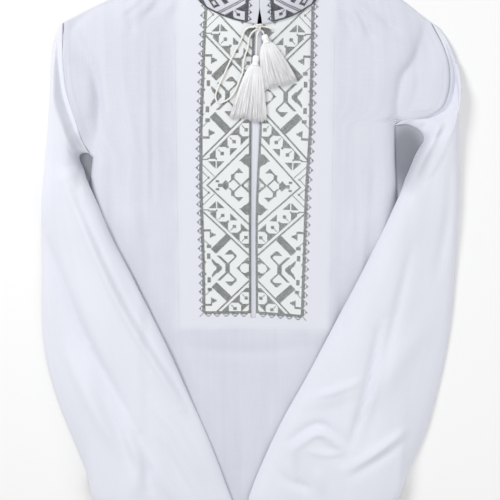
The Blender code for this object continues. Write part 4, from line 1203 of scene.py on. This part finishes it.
def collar_stitches(name, side, material):
    """The collar's cross-stitch, from one front end to the middle of the back."""
    seam, crest = collar_lines(400)
    if side < 0:
        seam = seam[::-1]
        crest = crest[::-1]
    at = distance_along(seam)

    def on_band(along, up):
        low = point_at(along, at, seam)
        high = point_at(along, at, crest)
        share = up / np.linalg.norm(high - low, axis=-1)
        point = low + (high - low) * share[..., None]
        point[..., 2] += COLLAR_BULGE * np.sin(np.pi * share)
        return point

    def lay(column, row, lift):
        along = COLLAR_MARGIN + column * COLLAR_STITCH_WIDE
        up = row * COLLAR_STITCH_HIGH - 1.2
        point = on_band(along, up)
        forward = on_band(along + 0.5, up) - point
        outward = unit(np.cross(forward, on_band(along, up + 0.5) - point) * side)
        point = point + outward * (lift + 0.1)[..., None]
        return point[..., 0], point[..., 1], point[..., 2]

    cells = collar_cells(at[-1] / 2 - COLLAR_MARGIN)
    return stitch_piece(name, cells, COLLAR_STITCH_WIDE, COLLAR_STITCH_HIGH, lay, material)


def round_cord(name, line, radius, material, sides=12, plies=2, pitch=6.0):
    """A twisted cord along a line of points, with its ends closed."""
    line = np.asarray(line, float)
    run = unit(np.gradient(line, axis=0))
    flat = unit(np.cross(run, (0.0, 0.0, 1.0)))
    rise = np.cross(flat, run)
    far = distance_along(line)

    def place(s, t):
        k = np.rint(t * (len(line) - 1)).astype(int)
        turn = 2 * np.pi * s
        lobe = np.abs(np.cos(0.5 * plies * (turn - 2 * np.pi * far[k] / pitch)))
        reach = radius * (0.84 + 0.20 * lobe)
        out = line[k] + flat[k] * (reach * np.cos(turn))[:, None]
        return (out + rise[k] * (reach * np.sin(turn))[:, None]).T

    return cloth_grid(name, sides, len(line) - 1, place, material, wrapped=True, wall=0)


def cord_line(route, count, end_lift):
    """A cord's centre line, lying on the front."""
    line = through(route, count)
    share = np.linspace(0.0, 1.0, count)
    height = front_height(line[:, 0], line[:, 1]) + CORD_DIAMETER / 2 + CORD_CLEARANCE + end_lift(share)
    return np.column_stack([line, height])


def rise_to_knot(share):
    """The bow's loop lifts off the front where both of its ends enter the knot."""
    return BOW_END_LIFT * (1.0 - ramp(np.minimum(share, 1.0 - share) / BOW_END_SHARE))


def make_knot(material):
    """The tie's knot: a cord that passes three times through itself."""
    turn = np.linspace(0.0, 2 * np.pi, 181)
    thick = 0.42 * CORD_DIAMETER
    half = np.array(KNOT_SIZE) / 2 - thick
    line = np.column_stack([(np.sin(turn) + 2 * np.sin(2 * turn)) / 2.8 * half[0],
                            (np.cos(turn) - 2 * np.cos(2 * turn)) / 2.8 * half[1],
                            -np.sin(3 * turn) * half[2]])
    middle = np.array([*KNOT_AT, front_height(*KNOT_AT) + KNOT_LIFT + KNOT_SIZE[2] / 2])
    return round_cord("knot_turns", line + middle, thick, material)


def strand_template():
    """One thread of unit length along z, four-sided, in eleven short lengths."""
    mesh = bmesh.new()
    bmesh.ops.create_cone(mesh, cap_ends=True, cap_tris=False, segments=4, radius1=1.0, radius2=0.8,
                          depth=1.0)
    bmesh.ops.translate(mesh, vec=(0, 0, 0.5), verts=mesh.verts[:])
    for cut in np.linspace(0.0, 1.0, 12)[1:-1]:
        everything = mesh.verts[:] + mesh.edges[:] + mesh.faces[:]
        bmesh.ops.bisect_plane(mesh, geom=everything, plane_co=(0, 0, cut), plane_no=(0, 0, 1))
    return as_template(mesh)


def make_tassel(name, values, material):
    """A bound head, its binding, and a fan of loose threads that lie on the front."""
    size = dict(zip(TASSEL_COLUMNS, values))
    head = np.array((size["head_x"], size["head_y"]))
    end = np.array((size["end_x"], size["end_y"]))
    length = np.linalg.norm(end - head)
    down = (end - head) / length
    across = np.array((-down[1], down[0]))
    floor = front_height(*head) + FRINGE_CLEARANCE
    half = size["head_width"] / 2

    def place(along, side, deep):
        x = head[0] + down[0] * along + across[0] * side
        y = head[1] + down[1] * along + across[1] * side
        ground = front_height(x, y) + FRINGE_CLEARANCE
        ground = np.where(along <= size["head_length"], np.maximum(floor, ground), ground)
        return x, y, ground + deep

    def on_head(s, t):
        turn = 2 * np.pi * s
        ribbed = 1.0 + 0.03 * np.cos(22 * turn)
        reach = table_at(TASSEL_HEAD, t) * ribbed * np.minimum(1.0, 12 * t + 0.2)
        side = half * reach * np.cos(turn)
        deep = TASSEL_THICKNESS / 2 * (1.0 + 0.94 * reach * np.sin(turn))
        return place(t * size["head_length"], side, deep)

    cap = cloth_grid(name + "_head", 66, 24, on_head, material, wrapped=True, wall=0)
    turn = np.linspace(0.0, BINDING_TURNS * 2 * np.pi, 130)
    binding_at = 0.62 * size["head_length"] + np.linspace(-1.3, 1.3, 130)
    wound_deep = TASSEL_THICKNESS / 2 * (1.0 + 0.78 * np.sin(turn))
    wound = np.column_stack(place(binding_at, half * 0.78 * np.cos(turn), wound_deep))
    binding = round_cord(name + "_binding", wound, BINDING_RADIUS, material, sides=6, pitch=3.0)

    rng = np.random.default_rng(11)
    count = THREAD_COUNT
    order = np.arange(count)
    layer = (order % THREAD_LAYERS) / (THREAD_LAYERS - 1)
    beside = order // THREAD_LAYERS + 0.5 + rng.uniform(-0.5, 0.5, count)
    shift = beside / (count / THREAD_LAYERS) - 0.5
    uneven = 1.0 + rng.normal(0.0, 0.022, count) + 0.02 * np.sin(9.0 * shift)
    sway = rng.normal(0.0, 0.55, (3, count))

    def strands(a, b, t):
        own_layer = layer[:, None]
        own_shift = shift[:, None]
        far = t * uneven[:, None]
        fan = size["head_width"] * 0.86
        fan = fan + (size["end_width"] * FAN_SPREAD - fan) * np.clip(far, 0.0, 2.0) ** FAN_POWER
        wave = sway[0][:, None] * np.sin(4.0 * t) * t + sway[1][:, None] * t * t
        rounding = 1.0 - 0.5 * (2 * own_shift) ** 2
        thick = (TASSEL_THICKNESS - 1.2) * (1.0 - 0.42 * t) * rounding
        radius = THREAD_RADIUS * (1.0 - 0.25 * t)
        along = size["head_length"] * 0.86 + (length - size["head_length"] * 0.86) * far
        deep = 0.5 + own_layer * thick + sway[2][:, None] * 0.3 * t
        return place(along, own_shift * fan + wave + a * radius, np.maximum(deep, 0.3) + b * radius)

    skirt = repeat_shape(name + "_threads", strand_template(), count, strands, material)
    return cap, binding, skirt


def make_backing(name, slit, side_x, material):
    """The stiffened backing behind half of the bib."""
    def place(s, t):
        y = BACKING_ROWS[0] + t * (BACKING_ROWS[1] - BACKING_ROWS[0])
        inner = slit(y) + np.sign(side_x) * 1.0
        x = inner + s * (side_x - inner)
        return x, y, cloth_height(x, y) - CLOTH - 0.45

    return cloth_grid(name, *BACKING_GRID, place, material, wall=BACKING_WALL)


def make_placket(material):
    """The strip behind the slit: two turned edges, the left one over the right one."""
    def place(s, t):
        y = PLACKET_ROWS[0] + t * (PLACKET_ROWS[1] - PLACKET_ROWS[0])
        left = slit_left(y) - 0.4
        right = slit_right(y) + 0.4
        x = left + s * (right - left)
        under = np.minimum(cloth_height(left, y), cloth_height(right, y)) - CLOTH - 0.5
        return x, y, under - 0.55 * ramp((s - 0.40) / 0.08)

    return cloth_grid("placket_cloth", *PLACKET_GRID, place, material, wall=STRIP_WALL)


def make_neck_shade_sheet(material):
    """A plain near-black sheet inside the back of the neck: painted shade seen through the collar's
    opening.
    """
    def place(s, t):
        y = NECK_SHADE_ROWS[0] + t * (NECK_SHADE_ROWS[1] - NECK_SHADE_ROWS[0])
        x = KNOT_AT[0] + (s - 0.5) * NECK_SHADE_WIDTH
        return x, y, CLOTH + 0.75 + 0.3 * np.sin(np.pi * s)

    return cloth_grid("neck_shade_sheet_cloth", *NECK_SHADE_GRID, place, material, wall=STRIP_WALL)


def seam_template():
    """One straight machine stitch, with its ends drawn into the cloth."""
    mesh = bmesh.new()
    bmesh.ops.create_uvsphere(mesh, u_segments=5, v_segments=4, radius=1.0)
    return as_template(mesh)


def machine_stitches(name, lines, material):
    """Rows of machine stitches: each line has its points and the way out of the cloth at each."""
    middles = []
    runs = []
    outs = []
    for points, out in lines:
        far = distance_along(points)
        at = np.arange(SEAM_PITCH / 2, far[-1], SEAM_PITCH)
        start = point_at(at - 0.4 * SEAM_PITCH, far, points)
        finish = point_at(at + 0.4 * SEAM_PITCH, far, points)
        middles.append((start + finish) / 2)
        runs.append((finish - start) / 2)
        outs.append(np.broadcast_to(out, (len(at), 3)))
    middle = np.concatenate(middles)
    run = np.concatenate(runs)
    out = np.concatenate(outs)
    side = unit(np.cross(run, out))

    def lay(x, y, z):
        return [middle[:, k:k + 1] + run[:, k:k + 1] * z + side[:, k:k + 1] * x * SEAM_HALF_WIDE
                + out[:, k:k + 1] * (y * SEAM_HALF_DEEP + 0.06) for k in range(3)]

    return repeat_shape(name, seam_template(), len(middle), lay, material)


def on_front(plan):
    """A row of plan points laid on the front, and the way out of the cloth."""
    plan = np.asarray(plan, float)
    return np.column_stack([plan, cloth_height(plan[:, 0], plan[:, 1])]), np.array([0.0, 0.0, 1.0])


def front_seams():
    """The front's rows of machine stitches: armholes, shoulders, hem and the bib's edge."""
    rows = []
    for inset in ARMHOLE_SEAM_INSETS:
        for armhole, side in ((FRONT_ARMHOLE_LEFT, -1), (FRONT_ARMHOLE_RIGHT, 1)):
            line = through(armhole, 90)
            run = unit(np.gradient(line, axis=0))
            inward = np.column_stack([run[:, 1], -run[:, 0]]) * -side
            rows.append(on_front((line + inward * inset)[4:-6]))
    for shoulder in (SHOULDER_LEFT, SHOULDER_RIGHT):
        line = through(shoulder, 70)[3:-3]
        rows.append(on_front(line - np.array([0.0, SHOULDER_SEAM_INSET])))
    hem_x = np.linspace(-207.0, 201.0, 160)
    rows.append(on_front(np.column_stack([hem_x, np.full(160, HEM_Y + HEM_TURN - 2.0)])))
    foot = BACKING_ROWS[0]
    corners = [(BACKING_LEFT_X, BIB_SEAM_TOP), (BACKING_LEFT_X, foot), (BACKING_RIGHT_X, foot),
               (BACKING_RIGHT_X, BIB_SEAM_TOP)]
    shares = np.linspace(0.0, 1.0, 200)[:, None]
    for start, stop in zip(corners, corners[1:]):
        rows.append(on_front(np.array(start) * (1.0 - shares) + np.array(stop) * shares))
    return rows


def cord_length(line):
    """A cord's length in metres."""
    return float(np.linalg.norm(np.diff(line, axis=0), axis=1).sum()) * MM


def make_floor():
    """The floor, just under the shirt."""
    mesh = bmesh.new()
    bmesh.ops.create_grid(mesh, x_segments=1, y_segments=1, size=FLOOR_HALF)
    data = bpy.data.meshes.new("floor")
    mesh.to_mesh(data)
    mesh.free()
    item = place_piece("floor", data, paper_floor())
    item.location.z = -FLOOR_DROP
    return item


def make_light(name, place, turn, power, size):
    """A soft square light."""
    light = bpy.data.lights.new(name, "AREA")
    light.energy = power
    light.size = size
    item = bpy.data.objects.new(name, light)
    item.location = place
    item.rotation_euler = (math.radians(turn[0]), math.radians(turn[1]), 0.0)
    bpy.context.scene.collection.objects.link(item)


def light_the_studio():
    """Even white light from all round, and plain whites in the picture."""
    world = bpy.data.worlds.new("studio")
    world.use_nodes = True
    world.node_tree.nodes["Background"].inputs["Color"].default_value = (1, 1, 1, 1)
    world.node_tree.nodes["Background"].inputs["Strength"].default_value = STUDIO_GLOW
    bpy.context.scene.world = world
    bpy.context.scene.view_settings.view_transform = "Standard"


def make_camera():
    """The camera, at the photograph's viewing angle."""
    data = bpy.data.cameras.new("photo_camera")
    data.lens = CAMERA_LENS
    data.sensor_width = 36.0
    camera = bpy.data.objects.new("photo_camera", data)
    camera.location = CAMERA_AT
    camera.rotation_euler = (CAMERA_TILT, 0.0, 0.0)
    bpy.context.scene.collection.objects.link(camera)
    bpy.context.scene.camera = camera


make_camera()
body_cotton = cotton("body_cotton", BODY_COLOUR, BODY_SHADE, bib=True)
plain_cotton = cotton("plain_cotton", BODY_COLOUR, BODY_SHADE, pit_shade=0.9)
# The sleeves get the lighter, painted-light copy of the cotton.
sleeve_cotton = cotton("sleeve_cotton", SLEEVE_LIT_COLOUR, SLEEVE_LIT_SHADE, pit_shade=0.25)
collar_cotton = cotton("collar_cotton", COLLAR_COLOUR, BODY_COLOUR)
strip_cotton = cotton("strip_cotton", BIB_COLOUR, SLEEVE_LIT_COLOUR)
stitch_thread = thread("stitch_thread", STITCH_COLOUR, STITCH_SHADE, 0.55, 0.6)
collar_thread = thread("collar_thread", COLLAR_STITCH_COLOUR, COLLAR_STITCH_SHADE, 0.55, 0.6)
cord_thread = thread("cord_thread", CORD_COLOUR, CORD_SHADE, 0.7, 1.1)
tassel_thread = thread("tassel_thread", TASSEL_COLOUR, TASSEL_SHADE, 0.5, 0.9)
seam_thread = thread("seam_thread", SLEEVE_LIT_COLOUR, BODY_SHADE, 0.6, 0.5)

bow_line = cord_line(BOW_ROUTE, 380, rise_to_knot)
ends_line = cord_line(ENDS_ROUTE, 80, lambda share: ENDS_LIFT)
bow = round_cord("tie_bow", bow_line, CORD_DIAMETER / 2, cord_thread)
ends = round_cord("tie_ends", ends_line, CORD_DIAMETER / 2, cord_thread)
neck_line = cord_line(NECK_ROUTE, 60, lambda share: NECK_LIFT * np.sin(np.pi * share) + NECK_BASE_LIFT)
neck_tie = round_cord("tie_neck", neck_line, 0.46 * CORD_DIAMETER, cord_thread)
knot = make_knot(cord_thread)
tassels = {name: make_tassel(name, values, tassel_thread) for name, values in TASSELS.items()}

front = make_front(body_cotton)
back = make_back(plain_cotton)
sleeves = {}
cuffs = {}
seam_lines = []
for side_name, side, sleeve_table, armhole, cuff_table in (
        ("left", -1, SLEEVE_LEFT, FRONT_ARMHOLE_LEFT, CUFF_LEFT),
        ("right", 1, SLEEVE_RIGHT, FRONT_ARMHOLE_RIGHT, CUFF_RIGHT)):
    sleeve, _ = make_tube("sleeve_cloth_" + side_name, sleeve_table, armhole, side, *SLEEVE_GRID,
                          sleeve_cotton)
    cuff, cuff_place = make_tube("cuff_cloth_" + side_name, cuff_table, None, side, *CUFF_GRID,
                                 sleeve_cotton)
    sleeves[side_name] = sleeve
    cuffs[side_name] = cuff
    around = np.linspace(0.02, 0.48, 200)
    for high in CUFF_SEAM_ROWS:
        rim = np.column_stack(cuff_place(around, np.full(200, high)))
        seam_lines.append((rim, np.array([0.0, 0.0, 1.0])))
collar = make_collar(collar_cotton)
backings = {"left": make_backing("backing_cloth_left", slit_left, BACKING_LEFT_X, strip_cotton),
            "right": make_backing("backing_cloth_right", slit_right, BACKING_RIGHT_X, strip_cotton)}
placket = make_placket(strip_cotton)
# A near-black sheet of painted shade inside the back of the neck.
neck_shade_sheet = make_neck_shade_sheet(thread("neck_shade_black", NECK_SHADE_COLOUR, NECK_SHADE_DARKEST, 0.8, 0.7))


topstitching = machine_stitches("topstitching", seam_lines + front_seams(), seam_thread)

bib_left = bib_stitches("bib_stitches_left", -1, stitch_thread)
bib_right = bib_stitches("bib_stitches_right", 1, stitch_thread)
collar_left = collar_stitches("collar_stitches_left", -1, collar_thread)
collar_right = collar_stitches("collar_stitches_right", 1, collar_thread)

stands_for = [(front, "front_panel", "body_cotton"), (back, "back_panel", "body_cotton"),
              (sleeves["left"], "sleeve_left", "sleeve_cotton"),
              (sleeves["right"], "sleeve_right", "sleeve_cotton"),
              (cuffs["left"], "cuff_left", "sleeve_cotton"),
              (cuffs["right"], "cuff_right", "sleeve_cotton"),
              (collar, "collar", "collar_cotton"), (backings["left"], "bib_backing_left", "backing"),
              (backings["right"], "bib_backing_right", "backing"),
              (placket, "placket_strip", "body_cotton"), (bow, "cord_bow", "cord_thread"),
              (ends, "cord_ends", "cord_thread"), (knot, "cord_knot", "cord_thread"),
              (tassels["tassel_lower"][2], "tassel_lower", "tassel_thread"),
              (tassels["tassel_upper"][2], "tassel_upper", "tassel_thread"),
              (tassels["tassel_lower"][0], None, "tassel_thread"),
              (tassels["tassel_upper"][0], None, "tassel_thread"),
              (tassels["tassel_lower"][1], None, "cord_thread"),
              (tassels["tassel_upper"][1], None, "cord_thread"),
              (neck_tie, None, "cord_thread"), (neck_shade_sheet, None, "collar_cotton"),
              (topstitching, None, "sleeve_cotton"), (bib_left, None, "stitch_thread"),
              (bib_right, None, "stitch_thread"), (collar_left, None, "stitch_thread"),
              (collar_right, None, "stitch_thread")]
for piece, node, slot in stands_for:
    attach(piece, "root")
    if node:
        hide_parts(node)

cord_length(bow_line)
cord_length(ends_line)
cord_length(neck_line)

floor = make_floor()
for light in STUDIO_LIGHTS:
    make_light(*light)
light_the_studio()
